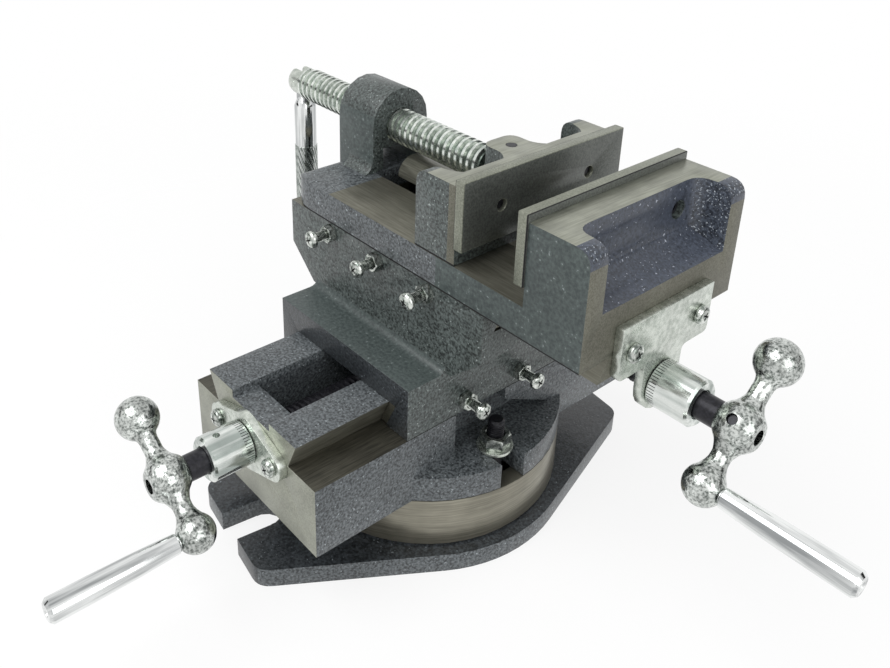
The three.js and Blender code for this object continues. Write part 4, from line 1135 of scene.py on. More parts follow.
@dataclass
class Fasteners:
    """All the cross-recessed screws: bearing plates and gibs, with the gibs' lock nuts."""

    plate_grip: float = 12.0
    gib_radius: float = 2.5
    gib_root: float = 2.05
    gib_pitch: float = 0.8
    gib_shank: float = 3.0
    gib_plain_end: float = 0.4
    gib_spin_step: float = 25.0
    nut_flats: float = 8.0
    nut_height: float = 4.0
    nut_chamfer: float = 0.7
    nut_play: float = 0.15
    nut_spin_step: float = 17.0
    head: CrossScrew = field(default_factory=CrossScrew)

    def build(self) -> None:
        """Builds the ten screws and six nuts."""
        self._plate_screws()
        self._gib_screws()
        log.info("four plate screws, six gib screws and six lock nuts")

    def _plate_screws(self) -> None:
        """Makes the screws of the two bearing plates, each with its cross turned its own way."""
        pattern = self.head.build("plate_screw", self.plate_grip)
        rows = (("lower_bearing_screw_left", Body.LOWER_SLIDE, NEAR, 10),
                ("lower_bearing_screw_right", Body.LOWER_SLIDE, NEAR, 37),
                ("upper_bearing_screw_near", Body.VISE_BODY, RIGHT, 20),
                ("upper_bearing_screw_far", Body.VISE_BODY, RIGHT, 62))
        for node, body, direction, spin in rows:
            self._copy(pattern, node, body, direction, spin)
        bpy.data.objects.remove(pattern)

    def _copy(self, pattern: bpy.types.Object, node: str, body: Body, direction: Vector,
              spin: float) -> None:
        """Puts a copy of a screw where its node is.

        Args:
            pattern: Screw along +Z, its seat at zero.
            node: Node that it stands for.
            body: Body that carries it.
            direction: Where its head points.
            spin: Turn of the cross in degrees.
        """
        _, top, _ = span_along(node, direction)
        piece = twin(pattern, f"{node}_cross")
        place(piece, direction, top - direction * self.head.head_height, spin)
        hand_in(piece, body, Slot.ZINC, node)

    def _gib_screws(self) -> None:
        """Makes the threaded gib screws and their lock nuts."""
        nut = hex_nut("gib_nut", self.nut_flats, self.nut_height,
                      self.gib_radius + self.nut_play, self.nut_chamfer)
        head = replace(self.head, shank_radius=self.gib_root)
        for row, direction in (("upper", NEAR), ("lower", RIGHT)):
            for index in (1, 2, 3):
                node = f"{row}_gib_screw_{index}"
                grip = span_along(node, direction)[2] - self.head.head_height
                screw = head.build("gib_head", self.gib_shank)
                turns = int((grip - self.gib_plain_end) / self.gib_pitch)
                thread = wind_thread("gib_thread", self.gib_root, self.gib_radius,
                                     self.gib_pitch, turns, 20)
                place(thread, UP, Vector((0, 0, -grip)))
                smooth(thread, 40)
                colour_faces(thread, [BRIGHT_ZINC])
                choose(screw, thread)
                bpy.ops.object.join()
                self._copy(screw, node, Body.SADDLE, direction, self.gib_spin_step * index)
                bpy.data.objects.remove(screw)
                self._lock_nut(nut, f"{row}_gib_nut_{index}", direction,
                               self.nut_spin_step * index)
        bpy.data.objects.remove(nut)

    def _lock_nut(self, pattern: bpy.types.Object, node: str, direction: Vector,
                  spin: float) -> None:
        """Puts a lock nut where its node is.

        Args:
            pattern: Nut along +Z.
            node: Node that it stands for.
            direction: Axis of the screw, outwards.
            spin: Turn of the nut in degrees.
        """
        inner, _, _ = span_along(node, direction)
        piece = place(twin(pattern, f"{node}_hex"), direction, inner, spin)
        colour_faces(piece, [BRIGHT_ZINC])
        hand_in(piece, Body.SADDLE, Slot.ZINC, node)


@dataclass
class Saddle:
    """Saddle casting between the two slides."""

    shelf: float = 100.3
    shelf_rise: float = 108.0
    way_floor: float = 130.0
    way_half: float = 37.5
    way_top: float = 140.2
    edge: float = 0.9

    def build(self) -> None:
        """Builds and dresses the saddle, its gibs and its feed nuts."""
        piece = dress_form(
            "saddle", "saddle_casting", Body.SADDLE, Slot.PAINT, self.edge,
            [WORN_AND_SHADE_PAINT, SMOOTH_PAINT, MILLED_IRON_ALONG_X, SHADE_ENAMEL], self._finish_of,
            segments=3,
        )
        dress_nodes(MILLED_IRON, "upper_gib", "lower_gib", "upper_feed_nut", "lower_feed_nut")
        log.info("saddle casting: %d faces", len(piece.data.polygons))

    def _finish_of(self, centre: Vector, normal: Vector) -> Finish:
        """Bare upper ways, painted shade on the front below the shelf, smooth shelf, else worn
        enamel.

        Args:
            centre: Centre of the face.
            normal: Normal of the face.

        Returns:
            The face's finish.
        """
        in_way = centre.z > self.way_floor and abs(centre.y - VISE_MIDDLE) < self.way_half
        if in_way or (centre.z > self.way_top and faces(normal, Z, 1)):
            return MILLED_IRON_ALONG_X
        # The front below the shelf takes the near-black enamel as painted shade.
        if centre.z < self.shelf and faces(normal, Y, -1):
            return SHADE_ENAMEL
        on_shelf = self.shelf < centre.z < self.shelf_rise and faces(normal, Z, 1, SLIGHT)
        return SMOOTH_PAINT if on_shelf else WORN_AND_SHADE_PAINT


@dataclass
class ViseBody:
    """Upper slide with the bed, the fixed jaw and the arch of the screw."""

    paint_end: float = -37.5
    slab_smooth_from: float = 40.0
    joint_top: float = 141.4
    bed_top: float = 155.6
    arch_foot: float = 158.0
    jaw_front_from: float = 87.0
    jaw_front_to: float = 92.0
    jaw_end: float = 120.9
    jaw_top: float = 192.3
    recess_x: float = 104.0
    recess_rim: float = 1.0
    corner_from: float = 182.0
    edge: float = 0.9
    strap_edge: float = 0.7
    plate_back: float = 90.65

    def build(self) -> None:
        """Builds the casting with its plates and hidden screws."""
        dress_form(
            "vise_body", "vise_body_casting", Body.VISE_BODY, Slot.PAINT, self.edge,
            [HAMMERED_PAINT, MILLED_IRON_ALONG_X, MILLED_IRON, GROUND_IRON, SMOOTH_PAINT,
             WORN_AND_SHADE_PAINT, RECESS_PAINT, JOINT_SHADE, GLINTING_PAINT],
            self._finish_of,
            scores=[(X, self.paint_end), (X, self.slab_smooth_from), (Z, self.joint_top)],
        )
        jaw_plate("fixed_jaw_plate", Body.VISE_BODY, self.plate_back)
        dress_form("upper_bearing_plate", "upper_bearing_strap", Body.VISE_BODY, Slot.ZINC,
                   self.strap_edge, [ZINC], segments=3)
        for side in ("near", "far"):
            SocketScrew().build(f"fixed_plate_screw_{side}", Body.VISE_BODY, RIGHT)
        log.info("vise body, fixed jaw plate, bearing strap and two socket screws")

    def _finish_of(self, centre: Vector, normal: Vector) -> Finish:
        """Bare where it was ground or milled, painted shade along the joint, else kinds of enamel.

        Args:
            centre: Centre of the face.
            normal: Normal of the face.

        Returns:
            The face's finish.
        """
        upper = faces(normal, Z, 1)
        if upper and centre.z > self.jaw_top and centre.x > 0:
            return GROUND_IRON
        if upper and abs(centre.z - self.bed_top) < LEVEL_PLAY:
            return MILLED_IRON_ALONG_X if centre.x > self.paint_end else HAMMERED_PAINT
        jaw_front = faces(normal, X, -1) and self.jaw_front_from < centre.x < self.jaw_front_to
        if jaw_front or (faces(normal, X, 1) and centre.x > self.jaw_end):
            return MILLED_IRON
        side = faces(normal, Y)
        outside = side and abs(centre.y - VISE_MIDDLE) > OUTSIDE_FROM
        # A near-black strip along the joint with the saddle is painted shade.
        if centre.z < self.joint_top:
            return JOINT_SHADE if outside else MILLED_IRON_ALONG_X
        if centre.x > self.recess_x and not outside:
            cheek = faces(normal, Y, share=HALF) and centre.x > self.recess_x + self.recess_rim
            corner = (faces(normal, Z, 1, SLIGHT) and faces(normal, X, 1, SLIGHT)
                      and centre.z > self.corner_from)
            return GLINTING_PAINT if cheek or corner else RECESS_PAINT
        slab_front = outside and centre.x > self.slab_smooth_from
        arch_side = side and centre.x < self.paint_end and centre.z > self.arch_foot
        if slab_front or arch_side:
            return SMOOTH_PAINT
        return HAMMERED_PAINT if centre.z < self.bed_top else WORN_AND_SHADE_PAINT


def jaw_plate(node: str, body: Body, back: float, edge: float = 0.45) -> None:
    """Dresses a jaw plate with bright ground edges and painted shade along the joint behind it.

    Args:
        node: Node that it stands for.
        body: Body that carries it.
        back: Place of its back along X.
        edge: Width of the broken edges.
    """
    finishes = [HARD_PLATE, BARE_EDGE, JOINT_SHADE]
    piece = merged_copy(node, f"{node}_ground")
    colour_faces(piece, finishes, lambda centre, normal: (
        HARD_PLATE if faces(normal, X, share=HALF) else BARE_EDGE
    ))
    soften(piece, edge, edge=finishes.index(BARE_EDGE))
    # Side faces next to the plate's back take the near-black finish as painted shade in the joint.
    for face in piece.data.polygons:
        if abs(face.center.x / MM - back) < edge and not faces(face.normal, X, share=SQUARE):
            face.material_index = finishes.index(JOINT_SHADE)
    smooth(piece)
    hand_in(piece, body, Slot.PLATE, node)


@dataclass
class SocketScrew:
    """Black socket screw of a jaw plate."""

    head_radius: float = 4.2
    head_height: float = 4.0
    head_chamfer: float = 0.5
    shank_radius: float = 2.4
    shank_chamfer: float = 0.3
    socket_radius: float = 2.3
    socket_depth: float = 2.4
    spin: float = 15.0

    def build(self, node: str, body: Body, direction: Vector) -> None:
        """Makes the screw where its node is.

        Args:
            node: Node that it stands for.
            body: Body that carries it.
            direction: Where its head points.
        """
        inner, _, length = span_along(node, direction)
        head, shank, seat = self.head_radius, self.shank_radius, length - self.head_height
        screw = turn(f"{node}_socket", [
            (shank - self.shank_chamfer, 0), (shank, 0.4), (shank, seat), (head - 0.2, seat),
            (head, seat + 0.3), (head, length - self.head_chamfer),
            (head - self.head_chamfer, length),
        ], 32)
        cut(screw, turn("socket", [
            (self.socket_radius, length - self.socket_depth), (self.socket_radius, length + 1),
        ], 6))
        place(screw, direction, inner, self.spin)
        finish_piece(screw, BLACK_OXIDE, body, Slot.BLACK, node)


@dataclass
class MovableJaw:
    """Movable jaw with its boss, tail, plate and keeper."""

    front_strip: float = 46.6
    face: float = 50.8
    top: float = 192.3
    bed_line: float = 156.0
    joint_from: float = 155.9
    joint_top: float = 156.6
    tail_top: float = 166.5
    tail_half: float = 9.6
    tail_end: float = 41.0
    edge: float = 0.8
    plate_back: float = 51.15

    def build(self) -> None:
        """Builds the jaw casting and its small parts."""
        dress_form(
            "movable_jaw", "movable_jaw_casting", Body.MOVABLE_JAW, Slot.PAINT, self.edge,
            [WORN_AND_SHADE_PAINT, GROUND_IRON, MILLED_IRON, TAIL_IRON, JOINT_SHADE], self._finish_of,
            scores=[(X, self.front_strip), (Z, self.joint_top)],
        )
        jaw_plate("movable_jaw_plate", Body.MOVABLE_JAW, self.plate_back)
        for side in ("near", "far"):
            SocketScrew().build(f"movable_plate_screw_{side}", Body.MOVABLE_JAW, LEFT)
        dress_nodes(MILLED_IRON, "jaw_keeper")
        dress_nodes(BLACK_OXIDE, "keeper_screw_front", "keeper_screw_rear", "retaining_pin")
        log.info("movable jaw, plate and two socket screws")

    def _finish_of(self, centre: Vector, normal: Vector) -> Finish:
        """Ground top, painted shade on the front face below the plate, milled front strip and
        underside, turned tail, painted shade along the joint, else enamel.

        Args:
            centre: Centre of the face.
            normal: Normal of the face.

        Returns:
            The face's finish.
        """
        if faces(normal, Z, 1) and centre.z > self.top:
            return GROUND_IRON
        # The front face below the plate takes the darker enamel as painted shade instead of bare
        # iron.
        if faces(normal, X, 1) and centre.x > self.face and centre.z > self.bed_line:
            return WORN_AND_SHADE_PAINT
        off_middle = abs(centre.y - VISE_MIDDLE)
        outside = faces(normal, Y) and off_middle > OUTSIDE_FROM
        # A near-black line along the joint with the bed is painted shade.
        if outside and self.joint_from < centre.z < self.joint_top:
            return JOINT_SHADE
        if centre.x > self.front_strip:
            return MILLED_IRON
        if centre.z < self.tail_top and off_middle < self.tail_half and centre.x < self.tail_end:
            return TAIL_IRON
        return MILLED_IRON if centre.z < self.bed_line else WORN_AND_SHADE_PAINT


@dataclass
class ViseScrew:
    """Vise screw with its wound thread, slotted head and hinged knurled handle."""

    axis_z: float = 177.8
    inner_end: float = 40.15
    neck: float = 6.0
    neck_chamfer: float = 0.8
    neck_end: float = 23.9
    root: float = 7.0
    crest: float = 8.9
    flank: float = 0.13
    pitch: float = 4.0
    turns: int = 36
    # How far above the thread's root its painted shade reaches.
    shade_depth: float = 0.5
    head_radius: float = 8.0
    head_start: float = -119.6
    head_end: float = -135.15
    head_dome: tuple[tuple[float, float], ...] = (
        (1.0, 0.72), (0.93, 0.86), (0.78, 0.96), (0.5, 1.0),
    )
    pin_x: float = -128.15
    pin_radius: float = 2.4
    pin_half: float = 7.9
    pin_chamfer: float = 0.5
    slot_half: float = 3.3
    slot_reach: float = 12.0
    eye_radius: float = 5.0
    eye_play: float = 0.35
    eye_chamfer: float = 0.4
    eye_bore: float = 2.65
    shank_radius: float = 6.2
    handle_length: float = 79.8
    knurl_radius: float = 6.45
    knurl_start: float = 37.5
    knurl_steps: int = 21
    knurl_twist: float = 7.0
    flutes: int = 18
    flute_depth: float = 0.55

    def build(self) -> None:
        """Builds the screw, its pin and its handle."""
        rod = wind_thread("vise_screw_thread", self.root, self.crest, self.pitch, self.turns, 48,
                          self.flank)
        place(rod, LEFT, self._on_axis(self.neck_end))
        smooth(rod, 50)
        colour_faces(rod, [CREST_HIGHLIGHT_ZINC, THREAD_ROOT_SHADE], self._thread_finish_of)
        hand_in(rod, Body.VISE_SCREW, Slot.ZINC, "vise_screw")
        neck = turn("vise_screw_neck", [
            (self.neck - self.neck_chamfer, 0), (self.neck, self.neck_chamfer),
            (self.neck, self.inner_end - self.neck_end + 1),
        ])
        place(neck, LEFT, self._on_axis(self.inner_end))
        finish_piece(neck, ZINC, Body.VISE_SCREW, Slot.ZINC)
        self._head()
        self._handle()
        self._knurl()
        log.info("vise screw with %d turns, and its handle", self.turns)

    def _on_axis(self, x: float) -> Vector:
        """Point of the screw's axis at a place along X."""
        return Vector((x, VISE_MIDDLE, self.axis_z))

    def _thread_finish_of(self, centre: Vector, normal: Vector) -> Finish:
        """Painted highlight on the crest and flanks, painted shade at the bottom."""
        out = math.hypot(centre.y - VISE_MIDDLE, centre.z - self.axis_z)
        return CREST_HIGHLIGHT_ZINC if out > self.root + self.shade_depth else THREAD_ROOT_SHADE

    def _head(self) -> None:
        """Makes the slotted head and its pin."""
        length, wide = self.head_start - self.head_end, self.head_radius
        head = turn("vise_screw_head", [
            (self.root, -1.5), (wide - 0.6, 0), (wide, 0.6),
            *((wide * out, length * rise) for out, rise in self.head_dome),
        ])
        place(head, LEFT, self._on_axis(self.head_start))
        cut(head, slab(
            "fork",
            (self.head_end - 2, VISE_MIDDLE - self.slot_half, self.axis_z - self.slot_reach),
            (self.pin_x + self.eye_radius + 0.3, VISE_MIDDLE + self.slot_half,
             self.axis_z + self.slot_reach),
        ))
        finish_piece(head, ZINC, Body.VISE_SCREW, Slot.ZINC, angle=35)
        end, wide, chamfer = self.pin_half, self.pin_radius, self.pin_chamfer
        pin = turn("handle_pin_round", [
            (wide - chamfer, -end), (wide, chamfer - end), (wide, end - chamfer),
            (wide - chamfer, end),
        ], 24)
        place(pin, FAR, self._on_axis(self.pin_x))
        finish_piece(pin, ZINC, Body.VISE_SCREW, Slot.ZINC, "handle_pin")

    def _handle(self) -> None:
        """Makes the hinged handle's eye, neck and plain shank as one piece."""
        half, wide, chamfer = self.slot_half - self.eye_play, self.eye_radius, self.eye_chamfer
        hinge = self._on_axis(self.pin_x)
        eye = turn("handle_eye", [
            (wide - chamfer, -half), (wide, chamfer - half), (wide, half - chamfer),
            (wide - chamfer, half),
        ], 40)
        cut(eye, turn("eye_bore", [(self.eye_bore, -9), (self.eye_bore, 9)], 32))
        place(eye, FAR, hinge)
        neck = slab("handle_neck", (1.1 - wide, -half, -13.5), (wide - 0.9, half, -4.2))
        place(neck, UP, hinge)
        shank = turn("handle_shank", [
            (half, 8.6), (self.shank_radius - 1.0, 11.8), (self.shank_radius, 14.2),
            (self.shank_radius, self.knurl_start), (self.shank_radius, self.handle_length - 3),
        ], 40)
        place(shank, DOWN, hinge)
        smooth(shank)
        choose(eye, neck, shank)
        bpy.ops.object.join()
        colour_faces(eye, [POLISHED_CHROME_Z])
        hand_in(eye, Body.HANDLE, Slot.CHROME, "screw_handle")

    def _knurl(self) -> None:
        """Makes the knurled sleeve: a fluted profile raised and turned step by step."""
        length, wide = self.handle_length - self.knurl_start, self.knurl_radius
        bpy.ops.object.select_all(action="DESELECT")
        bpy.ops.mesh.primitive_circle_add(
            vertices=4 * self.flutes, radius=wide * MM, fill_type="NGON"
        )
        sleeve = name_new("handle_knurl")
        inner = 1 - self.flute_depth / wide
        pick_faces(sleeve, lambda centre, normal: False)
        for index, vertex in enumerate(sleeve.data.vertices):
            vertex.select = index % 4 == 0
        with editing(sleeve, "VERT", "KEEP"):
            bpy.ops.transform.resize(value=(inner, inner, 1), center_override=(0, 0, 0))
            bpy.ops.mesh.select_all(action="SELECT")
            rise = length / self.knurl_steps
            for _ in range(self.knurl_steps):
                bpy.ops.mesh.extrude_region_move(
                    TRANSFORM_OT_translate={"value": (0, 0, rise * MM)}
                )
                bpy.ops.transform.rotate(
                    value=math.radians(self.knurl_twist), orient_axis="Z",
                    center_override=(0, 0, 0),
                )
            bpy.ops.mesh.select_all(action="SELECT")
            bpy.ops.mesh.normals_make_consistent(inside=False)
        cut(sleeve, turn("knurl_ends", [
            (wide - 1.2, 0), (wide + 0.1, 1.0), (wide + 0.1, length - 1.4), (wide - 1.4, length),
        ]), keep=True)
        place(sleeve, DOWN, self._on_axis(self.pin_x) - UP * self.knurl_start)
        finish_piece(sleeve, DULL_CHROME, Body.HANDLE, Slot.CHROME, angle=20)


@dataclass
class Feed:
    """A feed: black screw, dial, three-ball crank and turning grip.

    Places along the shaft are counted outwards from the end face of the slide.
    """

    label: str
    body: Body
    grip_body: Body
    origin: Vector
    outward: Vector
    crank_angle: float
    thread_from: float
    thread_turns: int
    turned_zinc: Finish
    grip_chrome: Finish
    shaft_radius: float = 5.9
    shaft_chamfer: float = 0.5
    thread_root: float = 4.7
    pitch: float = 3.0
    pivot_reach: float = 6.5
    shoulder: float = 4.0
    dial_start: float = 4.35
    dial_length: float = 19.5
    dial_radius: float = 10.4
    dial_bore: float = 6.2
    band_start: float = 0.6
    band_width: float = 3.4
    ticks: int = 50
    tick_depth: float = 0.25
    hole_radius: float = 1.6
    hole_place: float = 13.0
    crank_place: float = 41.0
    hub_radius: float = 10.3
    hub_half: float = 8.4
    weight_arm: float = 29.5
    weight_radius: float = 9.7
    grip_arm: float = 26.0
    grip_ball: float = 8.5
    arm_radius: float = 4.1
    skin_step: float = 0.55
    shaft_bore: float = 6.1
    drive_bore: float = 3.3
    pin_bore: float = 2.3
    stem_radius: float = 3.0
    grip_root: float = 4.3
    grip_end: float = 5.25
    grip_start: float = 8.4
    grip_length: float = 53.8

    def build(self) -> None:
        """Builds the pieces of the feed."""
        self._shaft()
        self._dial()
        self._crank()
        self._grip()
        log.info("%s feed: shaft, dial, crank and grip", self.label)

    def _side(self) -> Vector:
        """Finds the direction of the crank's weight arm.

        Returns:
            The direction.
        """
        level = UP.cross(self.outward)
        angle = math.radians(self.crank_angle)
        return level * math.cos(angle) + UP * math.sin(angle)

    def _stand(self, piece: bpy.types.Object) -> bpy.types.Object:
        """Moves a piece from the shaft's own frame, +Z outwards and +X to the weight.

        Args:
            piece: Piece in the shaft's own frame.

        Returns:
            The same piece.
        """
        side = self._side()
        axes = Matrix((side, self.outward.cross(side), self.outward)).transposed().to_4x4()
        piece.matrix_world = Matrix.Translation(self.origin * MM) @ axes
        return fix_place(piece)

    def _shaft(self) -> None:
        """Makes the black shaft and its wound thread."""
        node = f"{self.label}_feed_screw"
        root, wide, chamfer = self.thread_root, self.shaft_radius, self.shaft_chamfer
        inner = self.crank_place + self.pivot_reach - span_along(node, self.outward)[2]
        thread_end = self.thread_from + self.thread_turns * self.pitch
        outer = self.crank_place + self.shoulder
        core = turn(f"{self.label}_feed_shaft", [
            (root - chamfer, inner), (root, inner + chamfer), (root, thread_end),
            (wide, thread_end + 1), (wide, outer - chamfer), (wide - chamfer, outer),
        ])
        finish_piece(self._stand(core), BLACK_OXIDE, self.body, Slot.BLACK, node)
        thread = wind_thread(f"{self.label}_feed_thread", root - 0.2, wide, self.pitch,
                             self.thread_turns, 32)
        place(thread, UP, Vector((0, 0, self.thread_from)))
        finish_piece(self._stand(thread), BLACK_OXIDE, self.body, Slot.BLACK, angle=45)

    def _dial(self) -> None:
        """Makes the dial with engraved graduations and a set screw's hole."""
        start, end = self.dial_start, self.dial_start + self.dial_length
        wide, bore = self.dial_radius, self.dial_bore
        band = (start + self.band_start, start + self.band_start + self.band_width)
        dial = turn(f"{self.label}_dial_ring", [
            (wide - 0.4, start), (wide, start + 0.4), (wide, band[0]), (wide, band[1]),
            (wide, end - 1.0), (wide - 1.0, end), (bore + 0.4, end), (bore, end - 0.6),
            (bore, end - 1.2),
        ], self.ticks * 4)
        step = math.tau / self.ticks

        def on_tick(centre: Vector, normal: Vector) -> bool:
            """Picks every fourth face of the graduated band.

            Args:
                centre: Centre of the face.
                normal: Normal of the face.

            Returns:
                True if the face is the bottom of a graduation.
            """
            share = (math.atan2(centre.y, centre.x) % math.tau) / step % 1.0
            return band[0] < centre.z < band[1] and abs(normal.z) < 0.3 and share < 0.25

        pick_faces(dial, on_tick)
        with editing(dial, select="KEEP"):
            bpy.ops.mesh.extrude_faces_move(
                TRANSFORM_OT_shrink_fatten={"value": -self.tick_depth * MM}
            )
        hole = turn("set_screw_hole", [(self.hole_radius, 7.0), (self.hole_radius, 12.0)], 24)
        place(hole, Vector((0.5, -0.85, 0)).normalized(), Vector((0, 0, start + self.hole_place)))
        cut(dial, hole)
        colour_faces(dial, [self.turned_zinc, BLACK_OXIDE], lambda centre, normal: (
            BLACK_OXIDE if math.hypot(centre.x, centre.y) < wide - 0.15
            and band[0] < centre.z < band[1] else self.turned_zinc
        ))
        self._stand(dial)
        smooth(dial, 30)
        hand_in(dial, self.body, Slot.ZINC, f"{self.label}_dial")

    def _crank(self) -> None:
        """Makes the cast crank: three balls on two waisted arms, bored for shaft and pin."""
        hub = ball(f"{self.label}_crank_casting", self.hub_radius, (0, 0, 0))
        cut(hub, slab("flats", (-20, -20, -self.hub_half), (20, 20, self.hub_half)), keep=True)
        weight = ball("weight", self.weight_radius, (self.weight_arm, 0, 0))
        grip = ball("grip_ball", self.grip_ball, (-self.grip_arm, 0, 0))
        thin = self.arm_radius
        arms = [
            place(turn("arm", [
                (thin + 3.2, 6.0), (thin + 1.2, 9.6), (thin, 12.4), (thin, reach - 10.5),
                (thin + 0.8, reach - 8.0), (thin + 2.2, reach - 5.5),
            ], 32), direction, ORIGIN)
            for reach, direction in ((self.weight_arm, RIGHT), (self.grip_arm, LEFT))
        ]
        choose(hub, weight, grip, *arms)
        bpy.ops.object.join()
        remesh = hub.modifiers.new("weld", "REMESH")
        remesh.mode = "VOXEL"
        remesh.voxel_size = self.skin_step * MM
        relax = hub.modifiers.new("relax", "SMOOTH")
        relax.factor = 0.5
        relax.iterations = 8
        apply_modifiers(hub)
        cut(hub, turn("shaft_bore", [(self.shaft_bore, -12), (self.shaft_bore, 4.6)], 40))
        cut(hub, turn("drive_bore", [(self.drive_bore, 4), (self.drive_bore, 12)], 32))
        pin = turn("pin_bore", [(self.pin_bore, 0), (self.pin_bore, 14)], 24)
        cut(hub, place(pin, FAR, ORIGIN))
        place(hub, UP, Vector((0, 0, self.crank_place)))
        finish_piece(self._stand(hub), CAST_CHROME, self.body, Slot.CHROME,
                     f"{self.label}_crank", angle=45)
        dress_nodes(BLACK_OXIDE, f"{self.label}_crank_pin")

    def _grip(self) -> None:
        """Makes the tapered grip with its chamfered end."""
        start, span = self.grip_start, self.grip_length
        end, root, wide, stem = start + span, self.grip_root, self.grip_end, self.stem_radius
        grip = turn(f"{self.label}_grip_handle", [
            (stem, 2.0), (stem, start), (root - 0.5, start), (root, start + 0.6),
            (root + 0.25, start + span * 0.12), (root + 0.7, start + span * 0.35),
            (wide, start + span * 0.7), (wide, end - 1.4), (wide - 1.3, end), (1.9, end),
            (1.6, end - 0.7),
        ], 56)
        place(grip, UP, Vector((-self.grip_arm, 0, self.crank_place)))
        finish_piece(self._stand(grip), self.grip_chrome, self.grip_body, Slot.CHROME,
                     f"{self.label}_grip", angle=28)


# Studio


@dataclass
class Studio:
    """Camera, lamps, world and floor."""

    focal_pixels: float = 956.05
    principal: tuple[float, float] = (415.59, 182.04)
    azimuth: float = 48.963
    elevation: float = 24.874
    roll: float = 1.389
    place: Point = (301.2, -272.06, 354.53)
    sensor: float = 36.0
    sky: float = 0.6
    floor_white: float = 0.82
    floor_pale: float = 0.93
    floor_radius: float = 1600.0
    fade_from: float = 180.0
    fade_to: float = 750.0
    card_dark: float = 0.02
    card_width: float = 700.0
    card_height: float = 230.0
    target: Point = (20.0, 0.0, 100.0)

    def build(self) -> None:
        """Builds everything that isn't the vise."""
        self._camera()
        self._world()
        self._floor()
        self._lamp("key", (-150, -900, 1500), size=1100, power=17.0)
        self._lamp("fill", (1300, -200, 700), size=1000, power=6.0)
        self._card("card_left", (-800, -700, 330))
        self._card("card_right", (800, 700, 330))
        log.info("studio")

    def _camera(self) -> None:
        """Sets the camera where the photograph was taken."""
        turn_by, rise, lean = (
            math.radians(angle) for angle in (self.azimuth, self.elevation, self.roll)
        )
        back = Vector((
            math.sin(turn_by) * math.cos(rise), -math.cos(turn_by) * math.cos(rise), math.sin(rise)
        ))
        level = Vector((math.cos(turn_by), math.sin(turn_by), 0))
        above = back.cross(level)
        right = level * math.cos(lean) + above * math.sin(lean)
        upward = above * math.cos(lean) - level * math.sin(lean)
        width, height = PHOTO_SIZE
        data = bpy.data.cameras.new("camera")
        data.sensor_width = self.sensor
        data.lens = self.focal_pixels / width * self.sensor
        data.shift_x = (width / 2 - self.principal[0]) / width
        data.shift_y = (self.principal[1] - height / 2) / width
        data.clip_start, data.clip_end = 0.01, 20
        camera = bpy.data.objects.new("camera", data)
        turned = Matrix((right, upward, back)).transposed().to_4x4()
        camera.matrix_world = Matrix.Translation(Vector(self.place) * MM) @ turned
        bpy.context.scene.collection.objects.link(camera)
        bpy.context.scene.camera = camera

    def _world(self) -> None:
        """White where it is seen or mirrored, and dimmer as a light."""
        world = bpy.data.worlds.new("white_room")
        bpy.context.scene.world = world
        tree = empty_tree(world)
        strength = add_node(
            tree, "ShaderNodeMapRange", values={3: self.sky, 4: 1.0},
            links={0: self._seen(tree)},
        ).outputs[0]
        light = add_node(
            tree, "ShaderNodeBackground", values={"Color": WHITE}, links={"Strength": strength}
        )
        add_node(tree, "ShaderNodeOutputWorld", links={"Surface": light.outputs[0]})

    @staticmethod
    def _seen(tree: bpy.types.NodeTree) -> bpy.types.NodeSocket:
        """One where a surface is seen or mirrored, and zero where it only lights others.

        Args:
            tree: Node tree to add to.

        Returns:
            The value output.
        """
        rays = add_node(tree, "ShaderNodeLightPath")
        seen = rays.outputs["Is Camera Ray"]
        for kind in ("Is Glossy Ray", "Is Transmission Ray"):
            seen = add_node(
                tree, "ShaderNodeMath", {"operation": "MAXIMUM"},
                links={0: seen, 1: rays.outputs[kind]},
            ).outputs[0]
        return seen

    def _floor(self) -> None:
        """Pale floor with a soft shadow, which fades out into the background."""
        bpy.ops.object.select_all(action="DESELECT")
        bpy.ops.mesh.primitive_circle_add(
            vertices=64, radius=self.floor_radius * MM, fill_type="NGON"
        )
        floor = name_new("floor")
        material = bpy.data.materials.new("pale_floor")
        tree = empty_tree(material)
        place_of = add_node(tree, "ShaderNodeTexCoord").outputs["Object"]
        away = add_node(
            tree, "ShaderNodeVectorMath", {"operation": "LENGTH"}, links={0: place_of}
        ).outputs["Value"]
        fade = add_node(
            tree, "ShaderNodeMapRange", {"interpolation_type": "SMOOTHSTEP"},
            {1: self.fade_from * MM, 2: self.fade_to * MM}, {0: away},
        ).outputs[0]
        pale = add_node(
            tree, "ShaderNodeBsdfDiffuse", values={"Color": grey(self.floor_pale)}
        )
        white = add_node(tree, "ShaderNodeEmission", values={"Color": WHITE, "Strength": 1.0})
        share = add_node(
            tree, "ShaderNodeMapRange", values={3: 0.0, 4: self.floor_white},
            links={0: self._seen(tree)},
        ).outputs[0]
        paler = add_node(
            tree, "ShaderNodeMixShader",
            links={0: share, 1: pale.outputs[0], 2: white.outputs[0]},
        )
        clear = add_node(tree, "ShaderNodeBsdfTransparent")
        mixed = add_node(
            tree, "ShaderNodeMixShader",
            links={0: fade, 1: paler.outputs[0], 2: clear.outputs[0]},
        )
        add_node(tree, "ShaderNodeOutputMaterial", links={"Surface": mixed.outputs[0]})
        floor.data.materials.append(material)

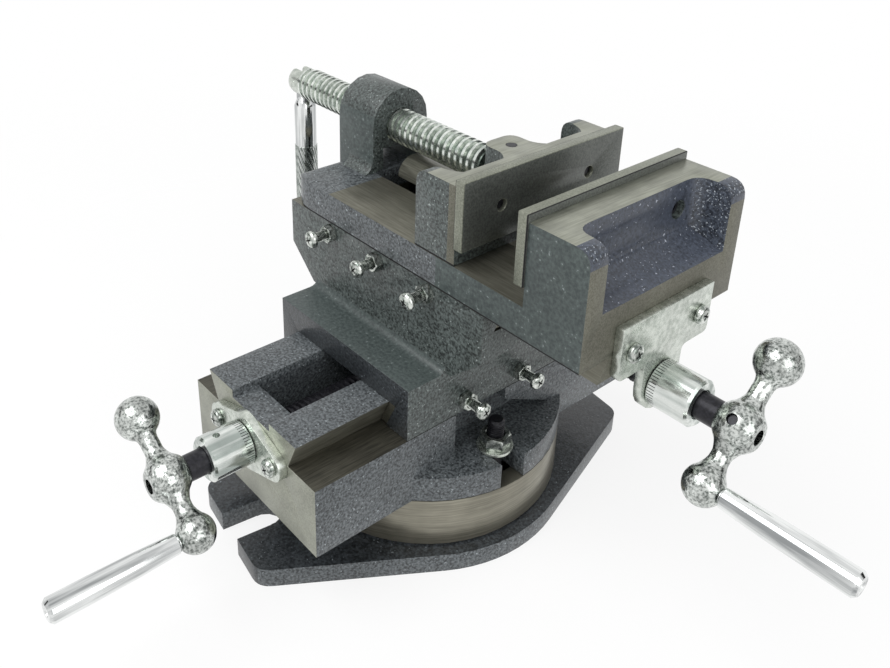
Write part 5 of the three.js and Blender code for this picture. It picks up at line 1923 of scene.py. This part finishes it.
    def _card(self, name: str, at: Point) -> None:
        """Stands a dark card where only bright metal mirrors it.

        Args:
            name: Name of the card.
            at: Its centre.
        """
        bpy.ops.object.select_all(action="DESELECT")
        bpy.ops.mesh.primitive_plane_add(size=1)
        card = name_new(name)
        card.scale = (self.card_width * MM, self.card_height * MM, 1)
        bpy.ops.object.transform_apply(location=False, rotation=False, scale=True)
        card.matrix_world = self._aimed(at, (self.target[0], self.target[1], at[2]), "Z")
        material = bpy.data.materials.new("dark_card")
        tree = empty_tree(material)
        dark = add_node(tree, "ShaderNodeBsdfDiffuse", values={"Color": grey(self.card_dark)})
        add_node(tree, "ShaderNodeOutputMaterial", links={"Surface": dark.outputs[0]})
        card.data.materials.append(material)
        card.visible_camera = card.visible_diffuse = card.visible_shadow = False

    def _lamp(self, name: str, at: Point, size: float, power: float) -> None:
        """Adds a soft square lamp that looks at the middle of the vise.

        Args:
            name: Name of the lamp.
            at: Its place.
            size: Side of the lamp.
            power: Power in watts.
        """
        data = bpy.data.lights.new(name, "AREA")
        data.size = size * MM
        data.energy = power
        lamp = bpy.data.objects.new(name, data)
        lamp.matrix_world = self._aimed(at, self.target, "-Z")
        bpy.context.scene.collection.objects.link(lamp)

    @staticmethod
    def _aimed(at: Point, target: Point, front: str) -> Matrix:
        """Places something at a point so that it looks at another.

        Args:
            at: Where it stands.
            target: Point that it looks at.
            front: Its own axis that points there.

        Returns:
            Its world matrix.
        """
        aim = Vector(target) - Vector(at)
        turned = aim.to_track_quat(front, "Y").to_matrix().to_4x4()
        return Matrix.Translation(Vector(at) * MM) @ turned


def main() -> None:
    """Builds the vise and the studio."""
    logging.basicConfig(level=logging.INFO, format="%(name)s: %(message)s")
    Studio().build()
    SwivelBase().build()
    LowerSlide().build()
    Saddle().build()
    ViseBody().build()
    MovableJaw().build()
    ViseScrew().build()
    Fasteners().build()
    Feed(
        label="lower", body=Body.LOWER_CRANK, grip_body=Body.LOWER_GRIP,
        origin=Vector((0, -103, 70.3)), outward=NEAR, crank_angle=148.3,
        thread_from=-186.0, thread_turns=56, turned_zinc=ZINC_DIAL_Y,
        grip_chrome=POLISHED_CHROME_Y,
    ).build()
    Feed(
        label="upper", body=Body.UPPER_CRANK, grip_body=Body.UPPER_GRIP,
        origin=Vector((121, VISE_MIDDLE, 117.8)), outward=RIGHT, crank_angle=43.6,
        thread_from=-172.0, thread_turns=56, turned_zinc=ZINC_DIAL_X,
        grip_chrome=POLISHED_CHROME_X,
    ).build()
    bpy.context.scene.view_settings.view_transform = "Standard"
    bpy.context.view_layer.update()


if __name__ == "__main__":
    main()
